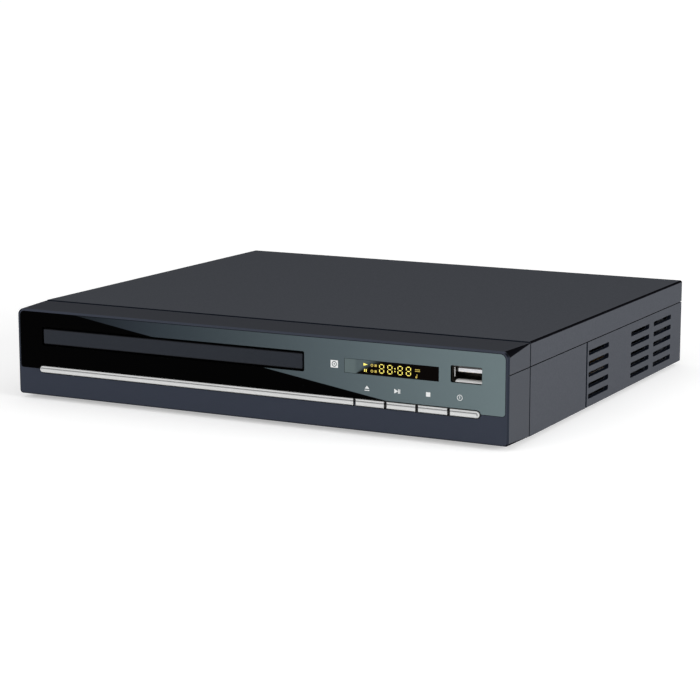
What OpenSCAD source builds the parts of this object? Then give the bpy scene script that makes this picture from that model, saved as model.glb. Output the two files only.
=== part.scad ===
// Compact disc player with a motorised tray, drawn in millimetres.
// Each module is drawn with x across the case, y back from its face and z up from its underside,
// and in_frame() then puts the origin at the middle of the base.

/* [Case] */
// Width of the case
case_w = 236; // [234:1:250]
// Depth of the case from its face to its rear edge
case_d = 210; // [208:1:226]
// Height of the case without its feet
case_h = 38.9; // [38.7:0.1:44]
// Thickness of the upright walls
wall = 2.2; // [1.8:0.1:2.6]
// Thickness of the floor
floor_t = 2; // [1.6:0.1:2.4]
// Thickness of the top cover
cover_t = 1.8; // [1.4:0.1:2]
// Height of the joint between the tub and the cover
seam_h = 28.9; // [27:0.1:30]
// Width of every visible joint
seam_gap = 0.4; // [0.3:0.05:0.6]
// Width of the joint behind the front frame
frame_gap = 0.8; // [0.6:0.1:1]
// How far the cover stands above the front frame
cover_step = 0.4; // [0.2:0.1:0.6]
// Radius along the long top edges of the cover
cover_r = 1; // [0.6:0.1:1.4]
// Radius of the feet
foot_r = 7; // [5:0.5:9]
// Height of the feet below the case
foot_h = 2; // [1.5:0.1:4]
// Distance of each foot from the sides and the rear of the case
foot_inset = 20; // [18:1:30]

/* [Front] */
// Depth of the front frame
bezel_d = 21.3; // [20:0.1:23]
// How far the top of the front frame falls towards the face
bezel_drop = 0.7; // [0.4:0.1:1]
// Radius of the front frame's upper corners at the face
bezel_r = 3; // [2.4:0.1:3.6]
// Radius of the front frame's lower corners at the face
bezel_low_r = 1.5; // [1.2:0.1:2]
// Rim of the front frame left around the glossy panel
rim = 1.5; // [1.2:0.1:1.8]
// Height of the glossy panel's lower edge
panel_low = 12.1; // [11.6:0.1:13]
// Thickness of the glossy panel
panel_t = 2; // [1.6:0.1:2.4]
// Radius of the glossy panel's corners
panel_r = 2.3; // [1.5:0.1:3]
// Corner radius of the glossy panel at its lower corners
panel_low_r = 1.2; // [0.8:0.1:2]
// Distance of the bright strip's left end from the side of the case
strip_margin = 11.9; // [8:0.1:18]
// Lower edge of the bright strip and the buttons
strip_low = 10.5; // [9.6:0.1:11]
// Height of the bright strip and the buttons
strip_h = 2.8; // [2.6:0.1:3.8]
// How far the strip and the buttons stand out of the panel
trim_proud = 0.8; // [0.4:0.1:1.2]
// Distance of the last button's right end from the side of the case
button_margin = 12.3; // [11.5:0.1:13]
// Distance of the first button from the tray's slot
button_start = 24; // [23.5:0.1:25]
// Gap between neighbouring buttons
button_gap = 1.2; // [1:0.1:1.4]
// Travel of each button
button_travel = 0.6; // [0.4:0.05:0.8]
// Distance of the display window from the tray's slot
window_start = 18.65; // [18.65:0.05:20]
// Distance of the display window from the middle of the USB socket
window_stop = 12; // [11.5:0.05:14]
// Height of the display window
window_h = 6; // [5.6:0.1:7]
// Middle height of the display window
window_z = 26.7; // [25:0.1:27.4]
// Height of the display digits
digit_h = 3.9; // [3:0.1:4.2]
// Distance of the USB socket's middle from the side of the case
usb_margin = 18.35; // [17:0.05:18.5]
// Middle height of the USB socket
usb_z = 27.45; // [26:0.05:28]

/* [Tray] */
// Distance of the tray door from the side of the case
door_margin = 14.1; // [13.5:0.1:14.7]
// Width of the tray door
door_w = 129.4; // [129:0.1:130]
// Height of the tray door
door_h = 6.5; // [6.3:0.1:6.7]
// Height of the tray door's lower edge
door_low = 23.4; // [23.2:0.1:23.6]
// Gap around the tray door
door_gap = 1; // [0.8:0.1:1.1]
// Thickness of the tray door
door_t = 3; // [2.6:0.1:3.2]
// Width of the tray
tray_w = 127.4; // [126.6:0.1:127.8]
// Depth of the tray from its front to its rear edge
tray_d = 152; // [150:1:154]
// Diameter of the disc that the tray holds
disc_d = 120; // [118:0.5:120]
// Play around the disc in its well
disc_play = 1; // [0.6:0.1:1.2]
// Diameter of the small disc's well
small_well_d = 82; // [81:1:90]
// Thickness of the tray under the well
tray_floor_t = 1.6; // [1.4:0.1:2]
// Depth of the disc well
well_depth = 2.2; // [1.8:0.1:2.6]
// Width of the slot that the drive passes through
tray_slot_w = 36; // [34:1:38]
// Travel of the tray
tray_travel = 128; // [120:1:130]
// Distance of the spindle behind the face
spindle_y = 68.5; // [68:0.5:72]

/* [Gears] */
// Module of the tray gears
gear_m = 1; // [1:0.05:1]
// Teeth of the gear that drives the rack
rack_pinion_z = 16; // [15:1:16]
// Teeth of the large half of the drive gear
drive_wheel_z = 24; // [23:1:24]
// Teeth of the pinion on the belt pulley
pulley_pinion_z = 10; // [10:1:12]
// Backlash of the gears
backlash = 0.3; // [0.2:0.05:0.4]
// Module of the sled gears
sled_m = 0.8; // [0.8:0.05:0.8]
// Teeth of the gear that drives the sled
sled_gear_z = 12; // [12:1:13]
// Teeth of the large half of the sled gear
sled_wheel_z = 24; // [24:1:25]
// Teeth of the pinion on the sled motor
sled_pinion_z = 10; // [10:1:12]
// Travel of the sled
sled_travel = 34; // [30:1:34]
// Tilt of the drive frame between playing and loading, in degrees
drive_tilt = 4.2; // [3.8:0.1:4.4]

/* [Sockets] */
// Length of each round jack behind the rear panel
jack_len = 8.5; // [7:0.1:10]
// Outer radius of each round jack
jack_r = 4.15; // [4.1:0.05:4.2]
// Radius of the hole in each round jack
jack_bore_r = 1.65; // [1.6:0.05:1.75]
// Distance from jack to jack
jack_pitch = 14; // [12:0.5:15]
// Distance of the mains inlet's middle from the side of the case
inlet_margin = 30; // [26:1:34]

/* [Hidden] */
fn_fine = 64;
fn_small = 32;
fn_hull = 32;
eps = 0.01;
// Named clearances
fit = 0.3;
run_fit = 0.05;
snug = 0.15;
// Colours
shell_colour = "#4a4d54";
bezel_colour = "#393d47";
gloss_colour = "#10161a";
bright_colour = "#c9cbce";
black_colour = "#17181b";
board_colour = "#2c5a37";
steel_colour = "#9ea2a6";
cream_colour = "#d8d2c0";

// Case
half_w = case_w / 2;
inner_half = half_w - wall;
cover_low = case_h - cover_t;
case_front = bezel_d + frame_gap;
tongue_t = 1.2;
tongue_reach = 3;
lip_t = 1;
lip_h = 2;
lip_root = 4;
panel_inset = 1.5;
rear_plate_t = 1.2;
rear_out = case_d - panel_inset;
rear_in = rear_out - rear_plate_t;
groove_reach = 3;
rear_most = rear_out + jack_len;
frame_y = (rear_most - trim_proud) / 2;
side_groove_y = 84.9;
side_groove_w = 0.9;
side_rib_y = 124.7;
side_rib_t = 1.4;
groove_depth = 0.5;
foot_y = [bezel_d + foot_r + 1.7, case_d - foot_inset];
post_r = 3.7;
post_h = 20;
post_edge = 4.6;
post_y = [34, case_d - 13];
post_screw_r = 1.25;
post_hole_r = 1.7;
post_pilot_r = 1.2;
screw_head_r = 3;
screw_head_h = 1.6;
vent_y = [87.2, 140.1, 170.5];
vent_len = 24.4;
vent_h = 2.2;
vent_r = 0.7;
vent_first = 4.5;
vent_pitch = 4.77;
vent_rows = 5;
floor_vent_w = 2.4;
floor_vent_len = 40;
floor_vent_pitch = 6;
floor_vent_margin = 5;
stop_rib_half = 60;

// Front
panel_top = case_h - bezel_drop - rim + 0.4;
panel_half = half_w - rim;
bezel_back = panel_t + wall;
rim_bevel = 0.7;
slot_low = door_low - door_gap;
slot_high = door_low + door_h + door_gap;
slot_half = door_w / 2 + door_gap;
slot_mid = (slot_low + slot_high) / 2;
tray_x = -half_w + door_margin + door_w / 2;
slot_right = tray_x + slot_half;
usb_x = half_w - usb_margin;
window_left = slot_right + window_start;
window_right = usb_x - window_stop;
window_w = window_right - window_left;
window_x = (window_left + window_right) / 2;
lens_clear = 0.12;
button_count = 4;
button_left = slot_right + button_start;
button_right = half_w - button_margin;
button_pitch = (button_right - button_left + button_gap) / button_count;
button_w = button_pitch - button_gap;
strip_left = -half_w + strip_margin;
strip_right = button_left - button_gap + 0.1;
trim_clear = 0.35;
trim_pocket = 2.1;
trim_bevel = 0.3;
trim_line = [0.7, 0.9];
trim_line_depth = 0.4;
button_flange_t = 1;
flange_y = bezel_back + fit;
stalk_end = 9.5;
board_t = 1.6;
switch_face = stalk_end + button_travel + 0.2;
board_y = switch_face + 1.6;
front_board_left = slot_right + 7.5;
front_board_right = inner_half - 4;
front_board_low = 4.4;
front_board_high = case_h - 5.4;
usb_open_w = 13.65;
usb_open_h = 6.9;
usb_w = 13.1;
usb_h = 5.7;
usb_t = 0.3;
usb_depth = 14;
usb_face = 1.1;
usb_flare = [0.3, 0.9];
usb_flare_len = 1;
usb_tab_w = 2.4;
usb_tab_len = 5;
usb_tab_slit = 0.3;
usb_tab_x = 3.2;
usb_tab_y = 4.5;
tongue_face = usb_face + 2.2;
tongue_half = 5.55;
tongue_z = [0.55, 2];
contact_x = [-3.5, -1, 1, 3.5];
contact_w = 1;
contact_t = 0.2;
board_boss_r = 2.6;
ir_x = front_board_left + 7;
ir_z = 19;
ir_r = 2;
board_boss_x = [front_board_left + 6, front_board_right - 3.5];
board_boss_z = [front_board_low + 2.2, front_board_high - 2.6];

// Tray and loader
tray_y = door_t;
tray_low = slot_low + 0.4;
rack_h = 2.7;
tray_floor = tray_low + rack_h + tray_floor_t;
tray_under = tray_low + rack_h;
tray_top = tray_floor + well_depth;
well_r = disc_d / 2 + disc_play;
tray_half = tray_w / 2;
rail_t = 3.4;
tray_end = tray_y + tray_d;
chassis_wall = 2;
chassis_half = tray_half + 0.6 + chassis_wall;
chassis_inner = chassis_half - chassis_wall;
chassis_low = 15;
chassis_t = 2;
plate_top = chassis_low + chassis_t;
chassis_front = 8;
chassis_back = tray_end + 10;
bridge_z = tray_top + 3.2;
bridge_t = 1.2;
bridge_y = [spindle_y - 20.5, spindle_y + 20.5];
ledge_w = 3;
puck_r = 14.9;
puck_flange_r = 17.6;
hold_len = 8;
hold_y = [chassis_front + 4, bridge_y[1] + 18, tray_end - 12];
leg_r = 4;
leg_x = chassis_half - 8;
leg_y = [bezel_d + 7, chassis_back - 9];
leg_boss_h = 5;
frame_open_half = 36;
frame_open_wide = 46;
frame_open_y = [42, 84, tray_end + 5];
frame_open_wide_end = tray_end - 15;

// Gears on the loader
pulley_z = plate_top + 0.4;
pulley_t = 2;
wheel_z = pulley_z + pulley_t + 0.4;
wheel_t = 2.2;
pinion_top = tray_under - fit;
rack_x = tray_x + 40.2;
rack_pinion_r = gear_m * rack_pinion_z / 2;
drive_wheel_r = gear_m * drive_wheel_z / 2;
pulley_pinion_r = gear_m * pulley_pinion_z / 2;
drive_gear_x = rack_x + rack_pinion_r;
drive_gear_y = 21.5;
pulley_y = drive_gear_y + drive_wheel_r + pulley_pinion_r;
pulley_r = 10;
belt_seat_r = 9;
motor_seat_r = 3;
motor_flange_r = 4;
motor_y = pulley_y + 28;
belt_t = 1.1;
pin_r = 1.5;
motor_r = 12.2;
motor_h = chassis_low - floor_t - 0.7;
rack_tooth_y = drive_gear_y;
rack_teeth_front = 2;
rack_teeth = ceil(tray_travel / (PI * gear_m)) + rack_teeth_front + 2;

// Disc drive
pivot_y = tray_end - 5;
pivot_z = 12;
pivot_r = 2;
frame_low = 10;
frame_t = 4;
frame_top = frame_low + frame_t;
frame_half = 33;
frame_wide = 43;
frame_front = 50;
frame_wide_y = [spindle_y + 16, spindle_y + 67];
rod_x = 20;
rod_z = frame_top + 5;
rod_r = 1.5;
rod_y = [spindle_y + 12.5, tray_end - 9];
rod_block = 4;
sled_half = 23;
lens_y = spindle_y + 24;
sled_y = [lens_y - 7.5, lens_y + 15];
sled_low = frame_top + 2.5;
sled_top = tray_low - 0.8;
disc_rest = tray_floor + 0.9;
hub_hole_r = 7.4;
hub_rise = 1.3;
table_r = 13.5;
sled_rack_x = 27;
sled_gear_r = sled_m * sled_gear_z / 2;
sled_wheel_r = sled_m * sled_wheel_z / 2;
sled_pinion_r = sled_m * sled_pinion_z / 2;
sled_gear_x = tray_x + sled_rack_x + sled_gear_r;
sled_gear_y = spindle_y + 43.5;
sled_motor_y = sled_gear_y + sled_wheel_r + sled_pinion_r;
sled_wheel_z0 = frame_top + 0.3;
sled_wheel_t = 1.8;
sled_upper_z0 = sled_wheel_z0 + sled_wheel_t;
sled_upper_t = 3;
sled_rack_z = [sled_upper_z0 + 0.4, sled_upper_z0 + sled_upper_t - 0.2];
sled_teeth_before = ceil(sled_travel / (PI * sled_m)) + 2;
sled_teeth_after = 2;
sled_motor_r = 8;
sled_motor_h = 4.6;
cam_y = [frame_front - 5.5, frame_front - 3];
cam_travel = 14;
cam_pin_r = 1.4;
cam_play = 0.25;
cam_pin_x = 14;
cam_pin_z = 12;
cam_drop = (pivot_y - cam_y[0]) * sin(drive_tilt);

// Boards and sockets
standoff_h = 6;
main_z = floor_t + standoff_h;
main_top = main_z + board_t;
main_left = -half_w + 13;
main_right = 62;
main_y = [chassis_back + 4, rear_in - 1];
power_left = tray_x + chassis_half + 10.9;
power_right = inner_half - 9;
power_y = [50, chassis_back - 4];
chips = [[10, 13, 20, 20, 1.4], [-16, 12, 11, 18, 1.1], [main_left + 13, 12, 8, 12, 1.1]];
crystal = [-52, 9, 11, 4.6, 3.5];
board_can_x = [30, 38];
board_can_y = 8;
board_can_r = 3;
board_can_h = 9;
core_w = 22;
core_d = 18;
core_leg_d = 8;
coil_w = 16;
core_t = 2.4;
coil_h = 11.6;
core_place = [24, 38];
bulk_can_r = 8;
bulk_can_h = 20;
bulk_can_place = [16, 66];
can_r = 4;
can_h = 14;
can_places = [[14, 68], [14, 82], [26, 86]];
sink_w = 18;
sink_h = 17;
sink_base_t = 2;
sink_fin_t = 1;
sink_fin_d = 6;
sink_fin_x = [-8, -4, 0, 4, 8];
sink_place = [14, 10];
hdmi_x = 40;
scart_x = main_left + 35;
scart_ear = 8.5;
scart_pin_pitch = 3.8;
jack_x = -22;
jack_count = 4;
jack_z = main_top + 8;
jack_block_h = 13;
jack_collar_r = 4.9;
jack_core_r = 3.2;
rear_vents = 6;
rear_vent_x = -12;
rear_vent_pitch = 5;
rear_vent_w = 2.4;
rear_vent_h = 6;
rear_vent_drop = 5.9;
rear_screw_r = 2.6;
rear_screw_t = 1.3;
rear_shank_r = 1.3;
rear_screw_len = rear_plate_t + 2.4;
rear_screw_edge = 9;
jack_screw_gap = 9;
hdmi_screw_gap = 12.5;
scart_w = 47;
scart_h = 16;
scart_z = main_top + scart_h / 2;
hdmi_z = main_top + 3;
inlet_x = half_w - inlet_margin;
inlet_w = 22;
inlet_h = 12.4;
inlet_z = 16;
inlet_depth = 16;
inlet_flange = 2;
inlet_slot_r = 4.4;
inlet_slot_w = 18;
inlet_recess = 12;
inlet_pin_r = 1.2;
inlet_pin_gap = 4.3;

// Shapes used by several pieces

module in_frame() translate([0, -frame_y, foot_h]) children();

module span(x, y, z)
  translate([x[0], y[0], z[0]]) cube([x[1] - x[0], y[1] - y[0], z[1] - z[0]]);

module post(r, z) translate([0, 0, z[0]]) cylinder(r = r, h = z[1] - z[0], $fn = fn_fine);

module along_y(y) translate([0, y[1], 0]) rotate([90, 0, 0]) linear_extrude(y[1] - y[0]) children();

module along_x(x) translate([x[0], 0, 0]) rotate([90, 0, 90]) linear_extrude(x[1] - x[0]) children();

module both_sides() {
  children();
  mirror([1, 0, 0]) children();
}

module rounded(w, h, r) {
  square([w - 2 * r, h], center = true);
  square([w, h - 2 * r], center = true);
  for (x = [-1, 1], z = [-1, 1])
    translate([x * (w / 2 - r), z * (h / 2 - r)]) circle(r = r, $fn = fn_small);
}

// Involute gear outline with a tooth centred on +x
function involute(rb, r) = r <= rb ? 0 : let(a = acos(rb / r)) tan(a) * 180 / PI - a;

module gear_shape(m, z, play = backlash) {
  pitch = m * z / 2;
  base = pitch * cos(20);
  root = pitch - 1.25 * m;
  tip = pitch + m;
  half = (PI * m / 2 - play) / 2 / pitch * 180 / PI + involute(base, pitch);
  start = max(base, root + 0.05);
  flank = [for (i = [0:4]) start + (tip - start) * i / 4];
  polygon([
    for (t = [0:z - 1])
      let(mid = t * 360 / z)
        each concat(
          [[root * cos(mid - half), root * sin(mid - half)]],
          [for (r = flank) let(a = mid - half + involute(base, r)) [r * cos(a), r * sin(a)]],
          [for (i = [4:-1:0]) let(r = flank[i], a = mid + half - involute(base, r)) [r * cos(a), r * sin(a)]],
          [[root * cos(mid + half), root * sin(mid + half)]]
        )
  ]);
}

// Rack outline along y: teeth point to +x, pitch line at x = 0, and a space is centred on y = 0
module rack_shape(m, back, before, after) {
  pitch = PI * m;
  root = (pitch / 2 - backlash) / 2 + 1.25 * m * tan(20);
  tip = (pitch / 2 - backlash) / 2 - m * tan(20);
  translate([-back, -before * pitch]) square([back - 1.25 * m, (before + after) * pitch]);
  for (t = [-before:after - 1])
    translate([0, (t + 0.5) * pitch])
      polygon([[-1.25 * m - eps, -root], [m, -tip], [m, tip], [-1.25 * m - eps, root]]);
}

// Case

module side_vents()
  for (y = vent_y, row = [0:vent_rows - 1])
    translate([inner_half - lip_t - eps, y + vent_len / 2, vent_first + row * vent_pitch])
      rotate([90, 0, 90]) linear_extrude(wall + lip_t + 1) rounded(vent_len, vent_h, vent_r);

module tub_post(y) translate([inner_half - post_edge, y, 0]) post(post_r, [0, post_h]);

module bottom_case() color(shell_colour) in_frame() difference() {
  union() {
    span([-half_w, half_w], [case_front, case_d], [0, floor_t]);
    span([-inner_half + fit, inner_half - fit], [bezel_d - 6, bezel_d + 4], [wall + fit, wall + fit + 1.8]);
    span([-inner_half, inner_half], [case_front, bezel_d + 4], [floor_t, wall + fit + 1.8]);
    span([-inner_half, inner_half], [rear_out + snug, case_d], [floor_t, floor_t + 2]);
    both_sides() {
      span([inner_half, half_w], [case_front, case_d], [0, seam_h - seam_gap]);
      span([inner_half - fit - tongue_t, inner_half - fit], [bezel_d - tongue_reach, bezel_d + 4],
           [wall + fit, seam_h + lip_h]);
      span([inner_half - fit - tongue_t, inner_half], [bezel_d + 2, bezel_d + 4], [floor_t, seam_h + lip_h]);
      span([inner_half - lip_t, inner_half], [bezel_d + 2, rear_in - snug],
           [seam_h - lip_root, seam_h + lip_h]);
      span([inner_half - groove_reach, inner_half], [rear_in - snug - 1.6, rear_in - snug], [floor_t, seam_h]);
      span([inner_half - groove_reach, inner_half], [rear_out + snug, case_d], [floor_t, seam_h - seam_gap]);
      for (y = post_y) {
        tub_post(y);
        span([inner_half - 3, inner_half], [y - 0.7, y + 0.7], [floor_t, post_h]);
      }
      span([inner_half - groove_reach, inner_half], [side_rib_y, side_rib_y + side_rib_t],
           [floor_t, seam_h - lip_root]);
    }
    for (x = [-1, 1], y = leg_y)
      translate([tray_x + x * leg_x, y, 0]) post(leg_r, [floor_t, leg_boss_h]);
    for (p = main_bosses()) translate([p[0], p[1], 0]) post(3, [floor_t, main_z]);
    for (p = power_bosses()) translate([p[0], p[1], 0]) post(3, [floor_t, main_z]);
    for (y = [cam_y[0] - fit - 1.4, cam_y[1] + fit])
      span([tray_x - cam_pin_x + 4, tray_x + cam_pin_x - 4], [y, y + 1.4], [floor_t, floor_t + 1.6]);
    span([tray_x - stop_rib_half, tray_x + stop_rib_half], [chassis_back + 1, chassis_back + 2.4],
         [floor_t, floor_t + 4]);
  }
  both_sides() {
    side_vents();
    span([half_w - groove_depth, half_w + 1],
         [side_groove_y - side_groove_w / 2, side_groove_y + side_groove_w / 2], [-1, seam_h]);
    for (y = post_y) translate([inner_half - post_edge, y, 0]) {
      post(post_hole_r, [-1, post_h + 1]);
      post(screw_head_r + snug, [-1, screw_head_h + 0.6]);
    }
  }
  for (p = concat(main_bosses(), power_bosses())) translate([p[0], p[1], 0]) post(1.2, [floor_t, main_z + 1]);
  for (x = [-1, 1], y = leg_y)
    translate([tray_x + x * leg_x, y, 0]) post(1.2, [1, leg_boss_h + 1]);
  for (i = [0:6])
    translate([power_left + floor_vent_margin + i * floor_vent_pitch, (power_y[0] + power_y[1]) / 2, -1])
      linear_extrude(floor_t + 2) rounded(floor_vent_w, floor_vent_len, floor_vent_w / 2 - 0.1);
}

function main_bosses() = [
  for (x = [main_left + 5, main_right - 5], y = [main_y[0] + 5, main_y[1] - 5]) [x, y]
];

function power_bosses() = [
  for (x = [power_left + 5, power_right - 5], y = [power_y[0] + 5, power_y[1] - 5]) [x, y]
];

module edge_cut(r, len) rotate([90, 0, 0]) linear_extrude(len) difference() {
  square(r + 1);
  circle(r = r, $fn = fn_fine);
}

module top_cover() color(shell_colour) in_frame() difference() {
  union() {
    span([-half_w, half_w], [case_front, case_d], [cover_low, case_h]);
    span([-half_w, half_w], [rear_out + snug, case_d], [cover_low - 2.2, cover_low]);
    span([-inner_half + 3, inner_half - 3], [case_front, bezel_d + 3], [cover_low - 2.6, cover_low]);
    span([-inner_half + 3, inner_half - 3], [bezel_d - 4, bezel_d + 3], [cover_low - 2.6, cover_low - 1.3]);
    for (y = [chassis_back - 42, chassis_back + 2])
      span([-inner_half + 6, inner_half - 6], [y, y + 1.4], [cover_low - 1.2, cover_low]);
    both_sides() {
      span([inner_half + snug, half_w], [case_front, case_d], [seam_h, case_h]);
      span([inner_half - fit - tongue_t, inner_half - fit], [bezel_d - tongue_reach, bezel_d + 4],
           [seam_h + lip_h + fit, cover_low - 3]);
      span([inner_half - fit - tongue_t, half_w - wall / 2], [bezel_d + 2, bezel_d + 4],
           [seam_h + lip_h + fit, cover_low + eps]);
      for (y = post_y) translate([inner_half - post_edge, y, 0]) post(3.2, [post_h + snug, cover_low]);
    }
  }
  both_sides() {
    translate([half_w - cover_r, case_d + 1, case_h - cover_r]) edge_cut(cover_r, case_d);
    for (y = post_y) translate([inner_half - post_edge, y, 0]) post(post_pilot_r, [0, cover_low - 2]);
  }
}

module foot_places() for (x = [-1, 1], y = foot_y)
  translate([x * (half_w - foot_inset), y, 0]) children();

module feet() color(black_colour) in_frame() foot_places() {
  difference() {
    union() {
      post(foot_r, [-foot_h + 0.6, 0]);
      translate([0, 0, -foot_h]) cylinder(r1 = foot_r - 0.6, r2 = foot_r, h = 0.6, $fn = fn_fine);
    }
    post(foot_r - 3, [-foot_h - 1, -foot_h + 0.5]);
  }
}

module case_screws() color(steel_colour) in_frame() both_sides()
  for (y = post_y) translate([inner_half - post_edge, y, 0]) difference() {
    union() {
      post(screw_head_r, [0.5, 0.5 + screw_head_h]);
      post(post_screw_r - 0.1, [0.5 + screw_head_h, post_h + 8]);
    }
    for (a = [0, 90]) rotate(a) translate([-1.6, -0.3, 0]) cube([3.2, 0.6, 1.3]);
  }

// Front frame and what it carries

// Slice of the front frame, whose top rises a little from the face to the rear
module face_slab(y, inset, top_r, low_r) {
  h = case_h - cover_step - (bezel_drop - cover_step) * (1 - y / bezel_d);
  translate([0, y + eps, 0]) rotate([90, 0, 0]) linear_extrude(eps) for (x = [-1, 1]) {
    translate([x * (half_w - inset - top_r), h - inset - top_r]) circle(r = top_r, $fn = fn_hull);
    translate([x * (half_w - inset - low_r), inset + low_r]) circle(r = low_r, $fn = fn_hull);
  }
}

module bezel_body() hull() {
  face_slab(0, rim_bevel, bezel_r - rim_bevel, bezel_low_r - rim_bevel);
  face_slab(rim_bevel, 0, bezel_r, bezel_low_r);
  face_slab(bezel_d - eps, 0, 0.3, 0.3);
}

module panel_outline(grow = 0) {
  w = 2 * (panel_half + grow);
  translate([0, (panel_low + panel_top) / 2]) rounded(w, panel_top - panel_low + 2 * grow, panel_r);
  translate([0, panel_low - grow + 2 * panel_r]) rounded(w, 4 * panel_r, panel_low_r);
}

// Bar in the line of the strip and the buttons, round at the ends that are asked for
module trim_outline(x0, x1, grow = 0, round_left = false, round_right = false) {
  translate([(x0 + x1) / 2, strip_low + strip_h / 2])
    rounded(x1 - x0 + 2 * grow, strip_h + 2 * grow, strip_h / 2 + grow - eps);
  if (!round_left) translate([x0 - grow, strip_low - grow]) square([strip_h, strip_h + 2 * grow]);
  if (!round_right) translate([x1 + grow - strip_h, strip_low - grow]) square([strip_h, strip_h + 2 * grow]);
}

module front_bezel() color(bezel_colour) in_frame() difference() {
  union() {
    difference() {
      bezel_body();
      span([-inner_half, inner_half], [bezel_back, bezel_d + 1], [wall, case_h - bezel_drop - wall]);
    }
    for (x = [front_board_left - 4, -inner_half + 5])
      span([x, x + 1.4], [bezel_back - eps, bezel_back + 1.8], [wall - eps, slot_low - 3]);
    for (x = board_boss_x, z = board_boss_z)
      translate([x, 0, z]) rotate([-90, 0, 0]) translate([0, 0, bezel_back - eps])
        cylinder(r = board_boss_r, h = board_y - bezel_back + eps, $fn = fn_small);
  }
  along_y([-1, panel_t + snug]) panel_outline(snug);
  along_y([-1, trim_pocket]) trim_outline(strip_left, strip_right, trim_clear, round_left = true);
  along_y([-1, bezel_d]) trim_outline(button_left, button_right, trim_clear, round_right = true);
  along_y([-1, bezel_d]) translate([tray_x, slot_mid]) rounded(2 * slot_half, slot_high - slot_low, 0.8);
  along_y([-1, bezel_d]) translate([usb_x, usb_z]) rounded(usb_open_w, usb_open_h, 0.6);
  along_y([-1, bezel_d]) translate([window_x, window_z]) square([window_w + 2, window_h + 2], center = true);
  translate([ir_x, 0, ir_z]) rotate([-90, 0, 0]) cylinder(r = ir_r + 0.4, h = bezel_d, $fn = fn_small);
  for (x = board_boss_x, z = board_boss_z)
    translate([x, panel_t + 1, z]) rotate([-90, 0, 0]) cylinder(r = 1, h = bezel_d, $fn = fn_small);
  both_sides() span([half_w - groove_depth, half_w + 1], [-1, bezel_d + 1], [seam_h - seam_gap, seam_h]);
}

module window_panel() color(gloss_colour) in_frame() difference() {
  along_y([0, panel_t]) panel_outline();
  along_y([-1, panel_t + 1]) trim_outline(strip_left, button_right, trim_clear, true, true);
  along_y([-1, panel_t + 1]) translate([tray_x, slot_mid]) rounded(2 * slot_half, slot_high - slot_low, 0.8);
  along_y([-1, panel_t + 1]) translate([usb_x, usb_z]) rounded(usb_open_w, usb_open_h, 0.6);
  along_y([-1, panel_t + 1]) translate([window_x, window_z]) square([window_w, window_h], center = true);
}

module display_lens() color("#2a2f33") in_frame()
  along_y([0, panel_t]) translate([window_x, window_z])
    square([window_w - 2 * lens_clear, window_h - 2 * lens_clear], center = true);

// Bar of the strip or a button, bevelled round its face and with a fine line below its upper edge
module trim_bar(x0, x1, depth, round_left = false, round_right = false) difference() {
  line_x0 = round_left ? x0 : x0 - strip_h;
  line_x1 = round_right ? x1 : x1 + strip_h;
  hull() {
    along_y([trim_bevel - trim_proud, depth]) trim_outline(x0, x1, 0, round_left, round_right);
    along_y([-trim_proud, depth]) trim_outline(x0, x1, -trim_bevel, round_left, round_right);
  }
  along_y([-trim_proud - 1, trim_line_depth - trim_proud]) intersection() {
    difference() {
      trim_outline(line_x0, line_x1, -trim_line[0], round_left, round_right);
      trim_outline(line_x0, line_x1, -trim_line[1], round_left, round_right);
    }
    translate([line_x0, strip_low + strip_h / 2]) square([line_x1 - line_x0, strip_h]);
  }
}

module trim_strip() color(bright_colour) in_frame()
  trim_bar(strip_left, strip_right, trim_pocket - 0.1, round_left = true);

module button(place) {
  x0 = button_left + place * button_pitch;
  x1 = x0 + button_w;
  mid_x = (x0 + x1) / 2;
  mid_z = strip_low + strip_h / 2;
  last = place == button_count - 1;
  color(bright_colour) in_frame() {
    trim_bar(x0, x1, flange_y + eps, round_right = last);
    span([x0 + 0.2, x1 - 0.2], [flange_y, flange_y + button_flange_t],
         [strip_low - 0.9, strip_low + strip_h + 0.9]);
    span([mid_x - 1.6, mid_x + 1.6], [flange_y, stalk_end], [mid_z - 1.2, mid_z + 1.2]);
  }
}

module eject_button() button(0);
module play_button() button(1);
module stop_button() button(2);
module power_button() button(3);

module front_board() color(board_colour) in_frame() difference() {
  span([front_board_left, front_board_right], [board_y, board_y + board_t],
       [front_board_low, front_board_high]);
  span([usb_x - usb_w / 2 - snug, usb_x + usb_w / 2 + snug], [board_y - 1, board_y + 3],
       [usb_z - usb_h / 2 - snug, usb_z + usb_h / 2 + snug]);
  for (x = board_boss_x, z = board_boss_z)
    translate([x, board_y - 1, z]) rotate([-90, 0, 0]) cylinder(r = 1.2, h = 4, $fn = fn_small);
}

module board_switches() color(black_colour) in_frame() for (i = [0:button_count - 1]) {
  x = button_left + i * button_pitch + button_w / 2;
  z = strip_low + strip_h / 2;
  span([x - 3, x + 3], [switch_face + 0.2, board_y], [z - 3, z + 3]);
  translate([x, switch_face, z]) rotate([-90, 0, 0]) cylinder(r = 1.5, h = 0.5, $fn = fn_small);
}

module ir_receiver() color(black_colour) in_frame() {
  span([ir_x - 2.8, ir_x + 2.8], [board_y - 2, board_y], [ir_z - 3.4, ir_z + 3.4]);
  translate([ir_x, 0, ir_z]) rotate([-90, 0, 0]) translate([0, 0, panel_t + fit + ir_r]) {
    cylinder(r = ir_r, h = board_y - 2 - panel_t - fit - ir_r, $fn = fn_small);
    intersection() {
      sphere(r = ir_r, $fn = fn_small);
      translate([0, 0, -ir_r]) cylinder(r = ir_r, h = ir_r, $fn = fn_small);
    }
  }
}

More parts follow.
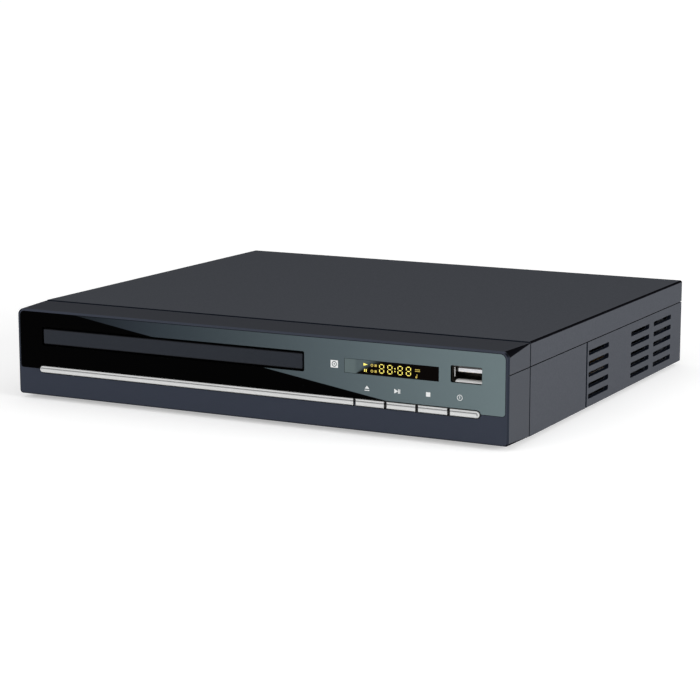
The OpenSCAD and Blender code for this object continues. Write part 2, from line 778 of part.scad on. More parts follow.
// Seven bars of one figure, as recesses in the face of the display
module figure_bars(h) {
  bar = h * 0.12;
  half = h * 0.25;
  side_len = h / 2 - 2 * bar;
  for (k = [-1, 0, 1])
    translate([-half + bar, k * (h - bar) / 2 - bar / 2]) square([2 * (half - bar), bar]);
  for (x = [-half, half - bar], k = [-1, 1])
    translate([x, k * (h - bar) / 4 - side_len / 2]) square([bar, side_len]);
}

module display_module() color(black_colour) in_frame() difference() {
  span([window_x - window_w / 2 - 0.7, window_x + window_w / 2 + 0.7], [panel_t + 0.4, board_y],
       [window_z - window_h / 2 - 0.7, window_z + window_h / 2 + 0.7]);
  for (d = [-6.1, -2.5, 2.1, 5.7])
    along_y([panel_t, panel_t + 0.7]) translate([window_x + 1.9 + d, window_z]) figure_bars(digit_h);
  for (k = [-1, 1])
    along_y([panel_t, panel_t + 0.7]) translate([window_x + 1.7, window_z + k * 0.9])
      circle(r = 0.28, $fn = 16);
}

// Outside or inside of the USB shell, t inwards, with a mouth that opens towards the face
module usb_sleeve(t, end) {
  hull() {
    along_y([usb_face - t, usb_face + eps]) translate([usb_x, usb_z])
      rounded(usb_w + usb_flare[0] - 2 * t, usb_h + usb_flare[1] - 2 * t, 0.5);
    along_y([usb_face + usb_flare_len, usb_face + usb_flare_len + eps]) translate([usb_x, usb_z])
      rounded(usb_w - 2 * t, usb_h - 2 * t, 0.5);
  }
  along_y([usb_face + usb_flare_len, end]) translate([usb_x, usb_z])
    rounded(usb_w - 2 * t, usb_h - 2 * t, 0.5);
}

module usb_shell() color(steel_colour) in_frame() difference() {
  union() {
    usb_sleeve(0, usb_face + usb_depth);
    for (s = [-1, 1])
      span([usb_x + s * (usb_w / 2 + 0.6) - 1, usb_x + s * (usb_w / 2 + 0.6) + 1],
           [board_y - 0.4, board_y], [usb_z - 2, usb_z + 0.4]);
  }
  usb_sleeve(usb_t, usb_face + usb_depth - usb_t);
  for (s = [-1, 1], k = [-1, 1])
    translate([usb_x + s * usb_tab_x, usb_face + usb_tab_y, usb_z + k * usb_h / 2]) usb_tab_cut();
}

// Slit round three sides of one of the spring tabs in the USB shell
module usb_tab_cut() difference() {
  half = usb_tab_w / 2;
  span([-half - usb_tab_slit, half + usb_tab_slit], [0, usb_tab_len + usb_tab_slit], [-1, 1]);
  span([-half, half], [-1, usb_tab_len], [-2, 2]);
}

module usb_tongue() color("#d5d6da") in_frame() translate([usb_x, 0, usb_z]) {
  back = usb_face + usb_depth - usb_t;
  half_in = usb_w / 2 - usb_t;
  high_in = usb_h / 2 - usb_t;
  along_y([back - 3, back]) rounded(2 * half_in, 2 * high_in, 0.5);
  span([-tongue_half, tongue_half], [tongue_face, back - 3], tongue_z);
}

module usb_contacts() color("#b08d4a") in_frame() translate([usb_x, 0, usb_z]) {
  back = usb_face + usb_depth - usb_t;
  for (x = contact_x)
    span([x - contact_w / 2, x + contact_w / 2], [tongue_face + 0.6, back - 3],
         [tongue_z[0] - contact_t, tongue_z[0]]);
}

module board_screws() color(steel_colour) in_frame() {
  for (x = board_boss_x, z = board_boss_z)
    translate([x, board_y + board_t, z]) rotate([-90, 0, 0]) {
      cylinder(r = 2, h = 1.2, $fn = fn_small);
      translate([0, 0, -board_t - 4]) cylinder(r = 0.9, h = board_t + 4, $fn = fn_small);
    }
  for (p = concat(main_bosses(), power_bosses())) translate([p[0], p[1], 0]) {
    post(2.2, [main_top, main_top + 1.4]);
    post(1.1, [main_z - 4, main_top]);
  }
}

// Tray

module disc_tray() color(black_colour) in_frame() translate([tray_x, 0, 0]) difference() {
  union() {
    span([-tray_half, tray_half], [tray_y, tray_end], [tray_under, tray_top]);
    for (s = [0, 1]) mirror([s, 0, 0])
      span([tray_half - rail_t, tray_half], [tray_y, tray_end], [tray_low, tray_under]);
    translate([rack_x - tray_x, rack_tooth_y, tray_low])
      linear_extrude(rack_h) rack_shape(gear_m, 5, rack_teeth_front, rack_teeth - rack_teeth_front);
    span([-tray_half, tray_half], [tray_y, tray_y + 2], [tray_low, tray_under]);
  }
  translate([0, spindle_y, 0]) {
    post(well_r, [tray_floor, tray_top + 1]);
    post(small_well_d / 2, [tray_floor - 0.8, tray_top]);
    post(tray_slot_w / 2, [tray_low - 1, tray_top]);
  }
  span([-tray_slot_w / 2, tray_slot_w / 2], [spindle_y, tray_end + 1], [tray_low - 1, tray_top + 1]);
  for (s = [-1, 1]) {
    translate([s * (tray_half - 14), tray_y + 20, 0]) post(9, [tray_floor, tray_top + 1]);
    span([s * (tray_half - 12) - 8, s * (tray_half - 12) + 8], [spindle_y + 50, tray_end - 4],
         [tray_floor + 0.4, tray_top + 1]);
  }
}

module tray_door() color(bezel_colour) in_frame() translate([tray_x, 0, door_low + door_h / 2])
  difference() {
    along_y([0, door_t]) rounded(door_w, door_h, 0.5);
    for (s = [-1, 1]) along_y([door_t - 1, door_t + 1]) translate([s * door_w / 3, 0])
      square([14, 2.4], center = true);
  }

// Loader

module loader_chassis() color(black_colour) in_frame() translate([tray_x, 0, 0]) difference() {
  union() {
    difference() {
      span([-chassis_half, chassis_half], [chassis_front, chassis_back], [chassis_low, plate_top]);
      span([-frame_open_half, frame_open_half], [frame_open_y[0], frame_open_y[2]], [0, plate_top + 1]);
      span([-frame_open_half, frame_open_wide], [frame_open_y[1], frame_open_wide_end], [0, plate_top + 1]);
    }
    for (s = [0, 1]) mirror([s, 0, 0]) {
      span([chassis_inner, chassis_half], [chassis_front, chassis_back], [chassis_low, tray_top]);
      span([chassis_inner, chassis_half], [bridge_y[0] - 1, bridge_y[1] + 1], [tray_top, bridge_z]);
      span([chassis_inner - ledge_w, chassis_half], [chassis_front + 4, chassis_back],
           [tray_low - fit - 2, tray_low - fit]);
      for (y = hold_y) {
        span([chassis_inner, chassis_half], [y, y + hold_len], [tray_top, tray_top + fit + 1.5]);
        span([chassis_inner - ledge_w, chassis_half], [y, y + hold_len],
             [tray_top + fit, tray_top + fit + 1.5]);
      }
      for (y = leg_y) translate([leg_x, y, 0]) post(leg_r, [leg_boss_h, chassis_low]);
      for (y = bridge_y) translate([chassis_inner - 2, (y + spindle_y) / 2, 0])
        span([0, 2.2], [-2.5, 2.5], [tray_top + fit + 0.6, bridge_z]);
      translate([frame_open_half - 4.5, pivot_y, 0]) pivot_bracket();
    }
    span([-chassis_half, chassis_half], [chassis_back - 2, chassis_back], [chassis_low, tray_low]);
    translate([drive_gear_x - tray_x, drive_gear_y, 0]) {
      post(3, [plate_top, wheel_z - 0.2]);
      post(pin_r, [plate_top, pinion_top]);
    }
    translate([drive_gear_x - tray_x, pulley_y, 0]) {
      post(3, [plate_top, pulley_z - 0.2]);
      post(pin_r, [plate_top, wheel_z + wheel_t]);
    }
    for (x = [-cam_pin_x - 20, cam_pin_x + 16])
      span([x, x + 5], [frame_open_y[0] - 2, cam_y[0] - fit], [chassis_low - 4, chassis_low]);
  }
  for (x = [-leg_x, leg_x], y = leg_y) translate([x, y, 0]) {
    post(1.6, [0, plate_top + 1]);
    post(3, [plate_top - 1.2, plate_top + 1]);
  }
  translate([drive_gear_x - tray_x, motor_y, 0]) {
    post(3.2, [0, plate_top + 1]);
    for (s = [-1, 1]) translate([s * 7, 0, 0]) post(1.3, [0, plate_top + 1]);
  }
}

// Bearing block that hangs under the plate's edge and holds one pivot of the drive frame
module pivot_bracket() difference() {
  union() {
    span([2.2, 4.4], [-4, 4], [pivot_z - 4, chassis_low]);
    span([2.2, 8], [-4, 4], [chassis_low - 2, chassis_low]);
  }
  rotate([0, 90, 0]) translate([-pivot_z, 0, -1]) cylinder(r = pivot_r + run_fit, h = 12, $fn = fn_small);
}

module chassis_screws() color(steel_colour) in_frame() translate([tray_x, 0, 0])
  for (x = [-leg_x, leg_x], y = leg_y) translate([x, y, 0]) {
    post(2.8, [plate_top - 1.2, plate_top + 0.6]);
    post(1.1, [leg_boss_h - 3, plate_top - 1.2]);
  }

module drive_gear() color(cream_colour) in_frame() translate([drive_gear_x, drive_gear_y, 0]) difference() {
  union() {
    translate([0, 0, wheel_z]) linear_extrude(wheel_t) rotate(180 / drive_wheel_z + 90)
      gear_shape(gear_m, drive_wheel_z);
    translate([0, 0, wheel_z + wheel_t - eps]) linear_extrude(pinion_top - wheel_z - wheel_t + eps)
      rotate(180) gear_shape(gear_m, rack_pinion_z);
  }
  post(pin_r + run_fit, [0, case_h]);
}

module belt_pulley() color(cream_colour) in_frame() translate([drive_gear_x, pulley_y, 0]) difference() {
  union() {
    translate([0, 0, pulley_z]) pulley(pulley_r, belt_seat_r);
    translate([0, 0, pulley_z + pulley_t - eps])
      linear_extrude(wheel_z + wheel_t - pulley_z - pulley_t + eps) rotate(-90)
        gear_shape(gear_m, pulley_pinion_z);
  }
  post(pin_r + run_fit, [0, case_h]);
}

module pulley(rim_r, seat_r) rotate_extrude($fn = fn_fine) polygon([
  [0, 0], [rim_r, 0], [rim_r, 0.3], [seat_r, 0.4], [seat_r, pulley_t - 0.4], [rim_r, pulley_t - 0.3],
  [rim_r, pulley_t], [0, pulley_t]
]);

// Outline of a belt's outside or inside, round two seats
module belt_outline(extra) {
  big = belt_seat_r + extra;
  small = motor_seat_r + extra;
  a = asin((big - small) / (motor_y - pulley_y));
  polygon(concat(
    [for (i = [0:24]) let(t = 180 - a + (180 + 2 * a) * i / 24) [big * cos(t), big * sin(t)]],
    [for (i = [0:12]) let(t = a + (180 - 2 * a) * i / 12)
      [small * cos(t), motor_y - pulley_y + small * sin(t)]]
  ));
}

module loading_belt() color(black_colour) in_frame()
  translate([drive_gear_x, pulley_y, pulley_z + 0.45]) linear_extrude(pulley_t - 0.9) difference() {
    belt_outline(run_fit + belt_t);
    belt_outline(run_fit);
  }

module motor_pulley() color(steel_colour) in_frame() translate([drive_gear_x, motor_y, 0]) {
  translate([0, 0, pulley_z]) pulley(motor_flange_r, motor_seat_r);
  post(1, [chassis_low - 4, pulley_z + pulley_t + 1]);
}

module loading_motor() color(steel_colour) in_frame() translate([drive_gear_x, motor_y, 0]) difference() {
  union() {
    post(motor_r, [chassis_low - motor_h, chassis_low]);
    post(3, [chassis_low, plate_top]);
  }
  post(1 + run_fit, [chassis_low - 4.2, plate_top + 1]);
  for (s = [-1, 1]) translate([s * 7, 0, 0]) post(1.1, [chassis_low - 2, chassis_low + 1]);
}

module clamp_bridge() color(steel_colour) in_frame() translate([tray_x, 0, 0]) difference() {
  union() {
    span([-chassis_half, chassis_half], bridge_y, [bridge_z, bridge_z + bridge_t]);
    for (y = [bridge_y[0], bridge_y[1] - 1])
      span([-chassis_half + 12, chassis_half - 12], [y, y + 1],
           [bridge_z + bridge_t, bridge_z + bridge_t + 1.4]);
  }
  translate([0, spindle_y, 0]) post(16, [0, case_h]);
  for (s = [-1, 1]) translate([s * 40, spindle_y, 0]) post(9, [0, case_h]);
}

module clamp_puck() color(cream_colour) in_frame() translate([tray_x, spindle_y, 0]) difference() {
  union() {
    post(puck_r, [tray_top + 0.5, bridge_z + bridge_t + fit]);
    post(puck_flange_r, [bridge_z + bridge_t + fit, bridge_z + bridge_t + fit + 1]);
  }
  post(8, [0, tray_top + 2.2]);
}

module clamp_yoke() color(steel_colour) in_frame() translate([tray_x, spindle_y, 0])
  post(12, [bridge_z + bridge_t + fit + 1, bridge_z + bridge_t + fit + 1.5]);

// Sliding cam with two slanted slots that lifts the front of the drive frame
module cam_slider() color(cream_colour) in_frame() translate([tray_x, 0, 0]) difference() {
  span([-cam_pin_x - 10, cam_pin_x + cam_travel + 6], cam_y, [floor_t + 0.4, chassis_low - fit]);
  for (s = [-1, 1]) translate([s * cam_pin_x, cam_y[0] - 1, cam_pin_z]) cam_slot();
}

module cam_slot() {
  len = norm([cam_travel, cam_drop]);
  r = cam_pin_r + cam_play;
  rotate([0, asin(cam_drop / len), 0]) {
    for (x = [0, len]) translate([x, 0, 0]) rotate([-90, 0, 0]) cylinder(r = r, h = 6, $fn = fn_small);
    span([0, len], [0, 6], [-r + eps, r - eps]);
  }
}

// Tilting disc drive, drawn level as it stands when it plays

module drive_frame() color("#33363b") in_frame() translate([tray_x, 0, 0]) difference() {
  union() {
    span([-frame_half + 6, frame_half - 6], [frame_front, pivot_y + 4], [frame_low, frame_top]);
    span([-frame_half, frame_half], [frame_front, pivot_y - 8], [frame_low, frame_top]);
    span([0, frame_wide], frame_wide_y, [frame_low, frame_top]);
    for (s = [-1, 1]) {
      translate([s * (frame_half - 6.2), pivot_y, pivot_z]) rotate([0, s * 90, 0])
        cylinder(r = pivot_r, h = 11, $fn = fn_small);
      translate([s * cam_pin_x, frame_front, cam_pin_z]) rotate([90, 0, 0])
        cylinder(r = cam_pin_r, h = frame_front - cam_y[0] - 0.3, $fn = fn_small);
      for (y = [rod_y[0], rod_y[1] - rod_block])
        span([s * rod_x - 3, s * rod_x + 3], [y, y + rod_block], [frame_top, rod_z + 2.5]);
    }
    for (s = [-1, 1])
      span([s * (frame_half - 1.2) - 0.8, s * (frame_half - 1.2) + 0.8], [frame_front, frame_wide_y[0] - 4],
           [frame_top, frame_top + 0.9]);
    translate([sled_gear_x - tray_x, sled_gear_y, 0]) post(1.2, [frame_top, sled_upper_z0 + sled_upper_t]);
  }
  span([-rod_x + 4, rod_x - 4], [rod_y[0] + rod_block + 0.5, rod_y[1] - rod_block - 0.5], [0, frame_top + 1]);
  for (s = [-1, 1]) translate([s * rod_x, 0, rod_z]) rotate([-90, 0, 0])
    cylinder(r = rod_r, h = case_d, $fn = fn_small);
  translate([sled_gear_x - tray_x, sled_motor_y, 0]) post(3.4, [0, frame_top + 1]);
  translate([0, spindle_y, 0]) post(3, [0, frame_top + 1]);
}

module frame_grommets() color(black_colour) in_frame() translate([tray_x, 0, 0])
  for (x = [-frame_half + 4, frame_half - 4], y = [frame_front + 5, frame_wide_y[0] - 6])
    translate([x - sign(x) * 1.5, y, 0]) post(2.6, [frame_top, frame_top + 2.2]);

module spindle_base() color(steel_colour) in_frame() translate([tray_x, spindle_y, 0]) difference() {
  union() {
    post(10.5, [frame_top, frame_top + 0.8]);
    post(2.6, [frame_low + 1, frame_top + 4.5]);
  }
  post(1 + run_fit, [frame_low + 2, case_h]);
}

module spindle_rotor() color(steel_colour) in_frame() translate([tray_x, spindle_y, 0]) difference() {
  union() {
    difference() {
      post(11, [frame_top + 1.1, frame_top + 6.4]);
      post(10, [0, frame_top + 5.4]);
    }
    post(1, [frame_low + 2.3, disc_rest]);
  }
}

module turntable() color(black_colour) in_frame() translate([tray_x, spindle_y, 0]) difference() {
  rotate_extrude($fn = fn_fine) polygon([
    [0, frame_top + 6.4], [5, frame_top + 6.4], [5, disc_rest - 1.4], [table_r, disc_rest - 1.4],
    [table_r, disc_rest], [hub_hole_r, disc_rest], [hub_hole_r, disc_rest + 0.6],
    [hub_hole_r - 1.2, disc_rest + hub_rise], [0, disc_rest + hub_rise]
  ]);
  post(1, [0, disc_rest]);
}

module guide_rods() color(steel_colour) in_frame() translate([tray_x, 0, 0]) for (s = [-1, 1])
  translate([s * rod_x, rod_y[0], rod_z]) rotate([-90, 0, 0])
    cylinder(r = rod_r, h = rod_y[1] - rod_y[0], $fn = fn_small);

module pickup_sled() color("#3b3e44") in_frame() translate([tray_x, 0, 0]) difference() {
  union() {
    span([-sled_half, sled_rack_x - 3], sled_y, [sled_low, sled_top - 0.6]);
    span([-14, 14], [sled_y[0] + 2, sled_y[1] - 2], [sled_low - 1, sled_top]);
    span([-9, 9], [lens_y - 6, lens_y + 9], [sled_top - eps, tray_floor - 2.2]);
    translate([sled_rack_x, sled_gear_y, sled_rack_z[0]]) linear_extrude(sled_rack_z[1] - sled_rack_z[0])
      rack_shape(sled_m, 3.5, sled_teeth_before, sled_teeth_after);
  }
  for (s = [-1, 1]) translate([s * rod_x, 0, rod_z]) rotate([-90, 0, 0])
    cylinder(r = rod_r + run_fit, h = case_d, $fn = fn_small);
  translate([0, lens_y, 0]) post(2.9, [sled_top - 2, tray_floor]);
}

module objective_lens() color("#6d86b8") in_frame() translate([tray_x, lens_y, 0]) {
  post(2.6, [sled_top - 2, tray_floor - 1.6]);
  intersection() {
    translate([0, 0, tray_floor - 1.6 - 3.2]) sphere(r = 4.12, $fn = fn_small);
    post(2.6, [tray_floor - 1.6, tray_floor]);
  }
}

module sled_gear() color(cream_colour) in_frame() translate([sled_gear_x, sled_gear_y, 0]) difference() {
  union() {
    translate([0, 0, sled_wheel_z0]) linear_extrude(sled_wheel_t)
      rotate(90 + 180 / sled_wheel_z) gear_shape(sled_m, sled_wheel_z);
    translate([0, 0, sled_upper_z0 - eps]) linear_extrude(sled_upper_t + eps)
      rotate(180) gear_shape(sled_m, sled_gear_z);
  }
  post(1.2 + run_fit, [0, case_h]);
}

module sled_pinion() color("#b08d4a") in_frame() translate([sled_gear_x, sled_motor_y, 0]) {
  translate([0, 0, sled_wheel_z0]) linear_extrude(sled_wheel_t) rotate(-90) gear_shape(sled_m, sled_pinion_z);
  post(0.8, [frame_low - 2, sled_wheel_z0]);
}

module sled_motor() color(steel_colour) in_frame() translate([sled_gear_x, sled_motor_y, 0]) difference() {
  union() {
    post(sled_motor_r, [frame_low - sled_motor_h, frame_low]);
    post(3, [frame_low, frame_top]);
  }
  post(0.8 + run_fit, [frame_low - 2.2, frame_top + 1]);
}

// Rear

module jack_places() for (i = [0:jack_count - 1]) translate([jack_x + i * jack_pitch, 0, jack_z]) children();

module scart_shape(grow = 0) polygon([
  [-scart_w / 2 - grow, -scart_h / 2 - grow], [scart_w / 2 + grow, -scart_h / 2 - grow],
  [scart_w / 2 + grow, scart_h / 2 - 7 + grow], [scart_w / 2 - 7 + grow, scart_h / 2 + grow],
  [-scart_w / 2 - grow, scart_h / 2 + grow]
]);

module rear_panel() color("#2b2d31") in_frame() difference() {
  span([-inner_half + fit, inner_half - fit], [rear_in, rear_out], [floor_t + 0.1, cover_low - fit]);
  along_y([rear_in - 1, rear_out + 1]) {
    translate([scart_x, scart_z]) scart_shape(fit);
    translate([hdmi_x, hdmi_z]) rounded(15.8, 6.4, 0.8);
    translate([inlet_x, inlet_z]) square([inlet_w + 2 * snug, inlet_h + 2 * snug], center = true);
  }
  jack_places() rotate([-90, 0, 0]) cylinder(r = 5.2, h = case_d, $fn = fn_small);
  for (i = [0:rear_vents - 1])
    translate([rear_vent_x + i * rear_vent_pitch, 0, case_h - rear_vent_drop])
      span([0, rear_vent_w], [rear_in - 1, rear_out + 1], [-rear_vent_h, 0]);
  rear_screw_spots() rear_screw_hole();
}

module rear_screw_spots() for (p = [
  [scart_x - (scart_w + scart_ear) / 2, scart_z], [scart_x + (scart_w + scart_ear) / 2, scart_z],
  [jack_x - jack_screw_gap, jack_z], [hdmi_x + hdmi_screw_gap, hdmi_z],
  [-half_w + rear_screw_edge, case_h - rear_screw_edge], [half_w - rear_screw_edge, case_h - rear_screw_edge]
]) translate([p[0], rear_out, p[1]]) rotate([-90, 0, 0]) children();

module rear_screw_hole() translate([0, 0, -rear_screw_len - 1])
  cylinder(r = rear_shank_r + 0.1, h = rear_screw_len + 2, $fn = fn_small);

module rear_screws() color(steel_colour) in_frame() rear_screw_spots() difference() {
  union() {
    cylinder(r1 = rear_screw_r, r2 = rear_screw_r - 0.5, h = rear_screw_t, $fn = fn_small);
    translate([0, 0, -rear_screw_len]) cylinder(r = rear_shank_r, h = rear_screw_len, $fn = fn_small);
  }
  for (a = [0, 90]) rotate(a) translate([-1.5, -0.3, rear_screw_t - 0.8]) cube([3, 0.6, 1]);
}

module main_board() color(board_colour) in_frame() difference() {
  span([main_left, main_right], main_y, [main_z, main_top]);
  for (p = main_bosses()) translate([p[0], p[1], 0]) post(1.3, [0, main_top + 1]);
}

module power_board() color("#8a6a3a") in_frame() difference() {
  span([power_left, power_right], power_y, [main_z, main_top]);
  for (p = power_bosses()) translate([p[0], p[1], 0]) post(1.3, [0, main_top + 1]);
}

module main_chips() color(black_colour) in_frame() {
  for (c = chips) translate([c[0], main_y[0] + c[1], main_top])
    linear_extrude(c[4]) square([c[2], c[3]], center = true);
  translate([crystal[0], main_y[0] + crystal[1], main_top])
    linear_extrude(crystal[4]) rounded(crystal[2], crystal[3], crystal[3] / 2 - 0.2);
  for (x = board_can_x) translate([x, main_y[0] + board_can_y, 0])
    post(board_can_r, [main_top, main_top + board_can_h]);
}

module hdmi_socket() color(steel_colour) in_frame() difference() {
  along_y([rear_out - 12, rear_out - 0.2]) translate([hdmi_x, hdmi_z]) rounded(15, 5.6, 0.6);
  along_y([rear_out - 10.5, rear_out + 1]) translate([hdmi_x, hdmi_z]) difference() {
    polygon([[-7, 2.25], [7, 2.25], [7, -0.6], [5.4, -2.25], [-5.4, -2.25], [-7, -0.6]]);
    translate([-5.4, -0.4]) square([10.8, 1.1]);
  }
}

module scart_socket() color(black_colour) in_frame() difference() {
  union() {
    along_y([rear_in - 12, rear_out]) translate([scart_x, scart_z]) scart_shape();
    span([scart_x - scart_w / 2 - scart_ear, scart_x + scart_w / 2 + scart_ear],
         [rear_in - 3, rear_in - 0.2], [scart_z - 4, scart_z + 4]);
  }
  along_y([rear_in - 8, rear_out + 1]) translate([scart_x, scart_z]) difference() {
    scart_shape(-1.2);
    scart_shape(-2.6);
  }
  for (row = [-1, 1], i = [0:9])
    translate([scart_x + (i - 4.75) * scart_pin_pitch + row * 0.9, 0, scart_z + row * 2.6])
      span([-0.6, 0.6], [rear_in - 6, rear_out + 1], [-1.8, 1.8]);
  rear_screw_spots() rear_screw_hole();
}

module jack_block() color(black_colour) in_frame() difference() {
  union() {
    span([jack_x - 5.5, jack_x + (jack_count - 1) * jack_pitch + 5.5], [rear_in - 11, rear_in - 0.2],
         [main_top, main_top + jack_block_h]);
    jack_places() rotate([-90, 0, 0]) translate([0, 0, rear_in - 1])
      cylinder(r = jack_collar_r, h = 1 + rear_plate_t, $fn = fn_fine);
    jack_places() rotate([-90, 0, 0]) translate([0, 0, rear_out])
      cylinder(r = jack_core_r, h = jack_len - 0.5, $fn = fn_fine);
  }
  jack_places() rotate([-90, 0, 0]) translate([0, 0, rear_out - 4])
    cylinder(r = jack_bore_r, h = jack_len + 6, $fn = fn_small);
}

module jack_barrels() color(bright_colour) in_frame() jack_places()
  rotate([-90, 0, 0]) translate([0, 0, rear_out]) difference() {
    cylinder(r = jack_r, h = jack_len, $fn = fn_fine);
    translate([0, 0, -1]) cylinder(r = jack_core_r, h = jack_len + 2, $fn = fn_fine);
  }

module transformer() color("#c9b45a") in_frame()
  translate([power_left + core_place[0], power_y[0] + core_place[1], main_top]) {
    span([-core_w / 2, core_w / 2], [-core_d / 2, core_d / 2], [0, core_t]);
    span([-coil_w / 2, coil_w / 2], [-coil_w / 2, coil_w / 2], [core_t, core_t + coil_h]);
    span([-core_w / 2, core_w / 2], [-core_leg_d / 2, core_leg_d / 2],
         [core_t + coil_h, 2 * core_t + coil_h]);
  }

module capacitors() color("#23304f") in_frame() {
  translate([power_right - bulk_can_place[0], power_y[0] + bulk_can_place[1], 0])
    post(bulk_can_r, [main_top, main_top + bulk_can_h]);
  for (p = can_places)
    translate([power_left + p[0], power_y[0] + p[1], 0]) post(can_r, [main_top, main_top + can_h]);
}

module heat_sink() color(steel_colour) in_frame()
  translate([power_right - sink_place[0], power_y[0] + sink_place[1], main_top]) {
    span([-sink_w / 2, sink_w / 2], [0, sink_base_t], [0, sink_h]);
    for (x = sink_fin_x)
      span([x - sink_fin_t / 2, x + sink_fin_t / 2], [sink_base_t, sink_base_t + sink_fin_d], [0, sink_h]);
  }

module inlet_recess_shape(r) {
  square([inlet_slot_w - 2 * r, 2 * r - 1.6], center = true);
  for (s = [-1, 1]) translate([s * (inlet_slot_w / 2 - r), 0]) circle(r = r, $fn = fn_fine);
}

module mains_inlet() color(black_colour) in_frame() difference() {
  union() {
    along_y([rear_out - inlet_depth, rear_out]) translate([inlet_x, inlet_z])
      square([inlet_w, inlet_h], center = true);
    along_y([rear_out, case_d]) translate([inlet_x, inlet_z])
      rounded(inlet_w + 2 * inlet_flange, inlet_h + 2 * inlet_flange, 2);
  }
  along_y([case_d - inlet_recess, case_d + 1]) translate([inlet_x, inlet_z]) inlet_recess_shape(inlet_slot_r);
  for (s = [-1, 1]) translate([inlet_x + s * inlet_pin_gap, 0, inlet_z]) rotate([-90, 0, 0])
    cylinder(r = inlet_pin_r, h = case_d, $fn = fn_small);
}

module inlet_pins() color(bright_colour) in_frame() for (s = [-1, 1])
  translate([inlet_x + s * inlet_pin_gap, rear_out - inlet_depth - 3, inlet_z]) rotate([-90, 0, 0])
    cylinder(r = inlet_pin_r, h = inlet_depth + 1, $fn = fn_small);

// Flat cable that runs from the front board along the floor to the main board
module flat_cable() color("#d9d9d4") in_frame() {
  x = front_board_left + 0.4;
  w = 0.5;
  y0 = board_y + board_t;
  y1 = main_y[0] + 6;
  span([x - 3, x - 3 + w], [y0 + 2, y1], [floor_t + 2.6, floor_t + 6]);
  span([x - 3, x + 2], [y0, y0 + 2], [floor_t + 2.6, floor_t + 6]);
}

bottom_case();
top_cover();
front_bezel();
window_panel();
trim_strip();
eject_button();
play_button();
stop_button();
power_button();
tray_door();
disc_tray();
display_lens();
display_module();
front_board();
board_switches();
ir_receiver();
usb_shell();
usb_tongue();
usb_contacts();
rear_panel();
rear_screws();
feet();
case_screws();
loader_chassis();
chassis_screws();
drive_gear();
belt_pulley();
loading_belt();
motor_pulley();
loading_motor();
clamp_bridge();
clamp_puck();
clamp_yoke();
cam_slider();
drive_frame();
spindle_base();
spindle_rotor();
turntable();
guide_rods();
pickup_sled();
objective_lens();
sled_gear();
sled_pinion();
sled_motor();
frame_grommets();
main_board();
main_chips();
hdmi_socket();
scart_socket();
jack_block();
jack_barrels();
power_board();
transformer();
capacitors();
heat_sink();
mains_inlet();
inlet_pins();
flat_cable();
board_screws();
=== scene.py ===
import math

import bmesh
import bpy
from mathutils import Matrix, Vector


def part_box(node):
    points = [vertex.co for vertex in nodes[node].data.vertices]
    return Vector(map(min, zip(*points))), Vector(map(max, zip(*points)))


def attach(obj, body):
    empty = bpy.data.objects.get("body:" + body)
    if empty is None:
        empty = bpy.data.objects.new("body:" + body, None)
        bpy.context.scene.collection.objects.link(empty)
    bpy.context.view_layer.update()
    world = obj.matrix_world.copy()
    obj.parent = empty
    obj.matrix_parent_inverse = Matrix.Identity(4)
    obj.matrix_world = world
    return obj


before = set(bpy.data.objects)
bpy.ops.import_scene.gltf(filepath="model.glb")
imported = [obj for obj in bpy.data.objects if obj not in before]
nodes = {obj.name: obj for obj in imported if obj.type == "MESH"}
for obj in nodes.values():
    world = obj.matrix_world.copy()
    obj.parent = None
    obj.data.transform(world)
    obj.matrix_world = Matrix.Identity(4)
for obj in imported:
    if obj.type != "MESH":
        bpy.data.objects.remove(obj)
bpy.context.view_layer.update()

# ---------------------------------------------------------------------------
# Case tub and cover
# Two halves moulded in dark grey ABS with a fine spark-eroded grain. The cover drops over the tub's
# lips and four screws from below hold it, which leaves one thin line along each side.
# ---------------------------------------------------------------------------

MM = 0.001


class Signal:
    """The output of a shader node, which takes part in plain arithmetic."""

    def __init__(self, sheet, socket):
        self.sheet = sheet
        self.socket = socket

    def compute(self, operation, *values):
        return self.sheet.add("ShaderNodeMath", {"operation": operation}, dict(enumerate(values)))

    def __add__(self, other):
        return self.compute("ADD", self, other)

    def __sub__(self, other):
        return self.compute("SUBTRACT", self, other)

    def __rsub__(self, other):
        return self.compute("SUBTRACT", other, self)

    def __mul__(self, other):
        return self.compute("MULTIPLY", self, other)

    def __truediv__(self, other):
        return self.compute("DIVIDE", self, other)

    def __abs__(self):
        return self.compute("ABSOLUTE", self)

    def most(self, other):
        return self.compute("MAXIMUM", self, other)

    def root(self):
        return self.compute("SQRT", self)

    def sine(self):
        return self.compute("SINE", self)

    __radd__ = __add__
    __rmul__ = __mul__


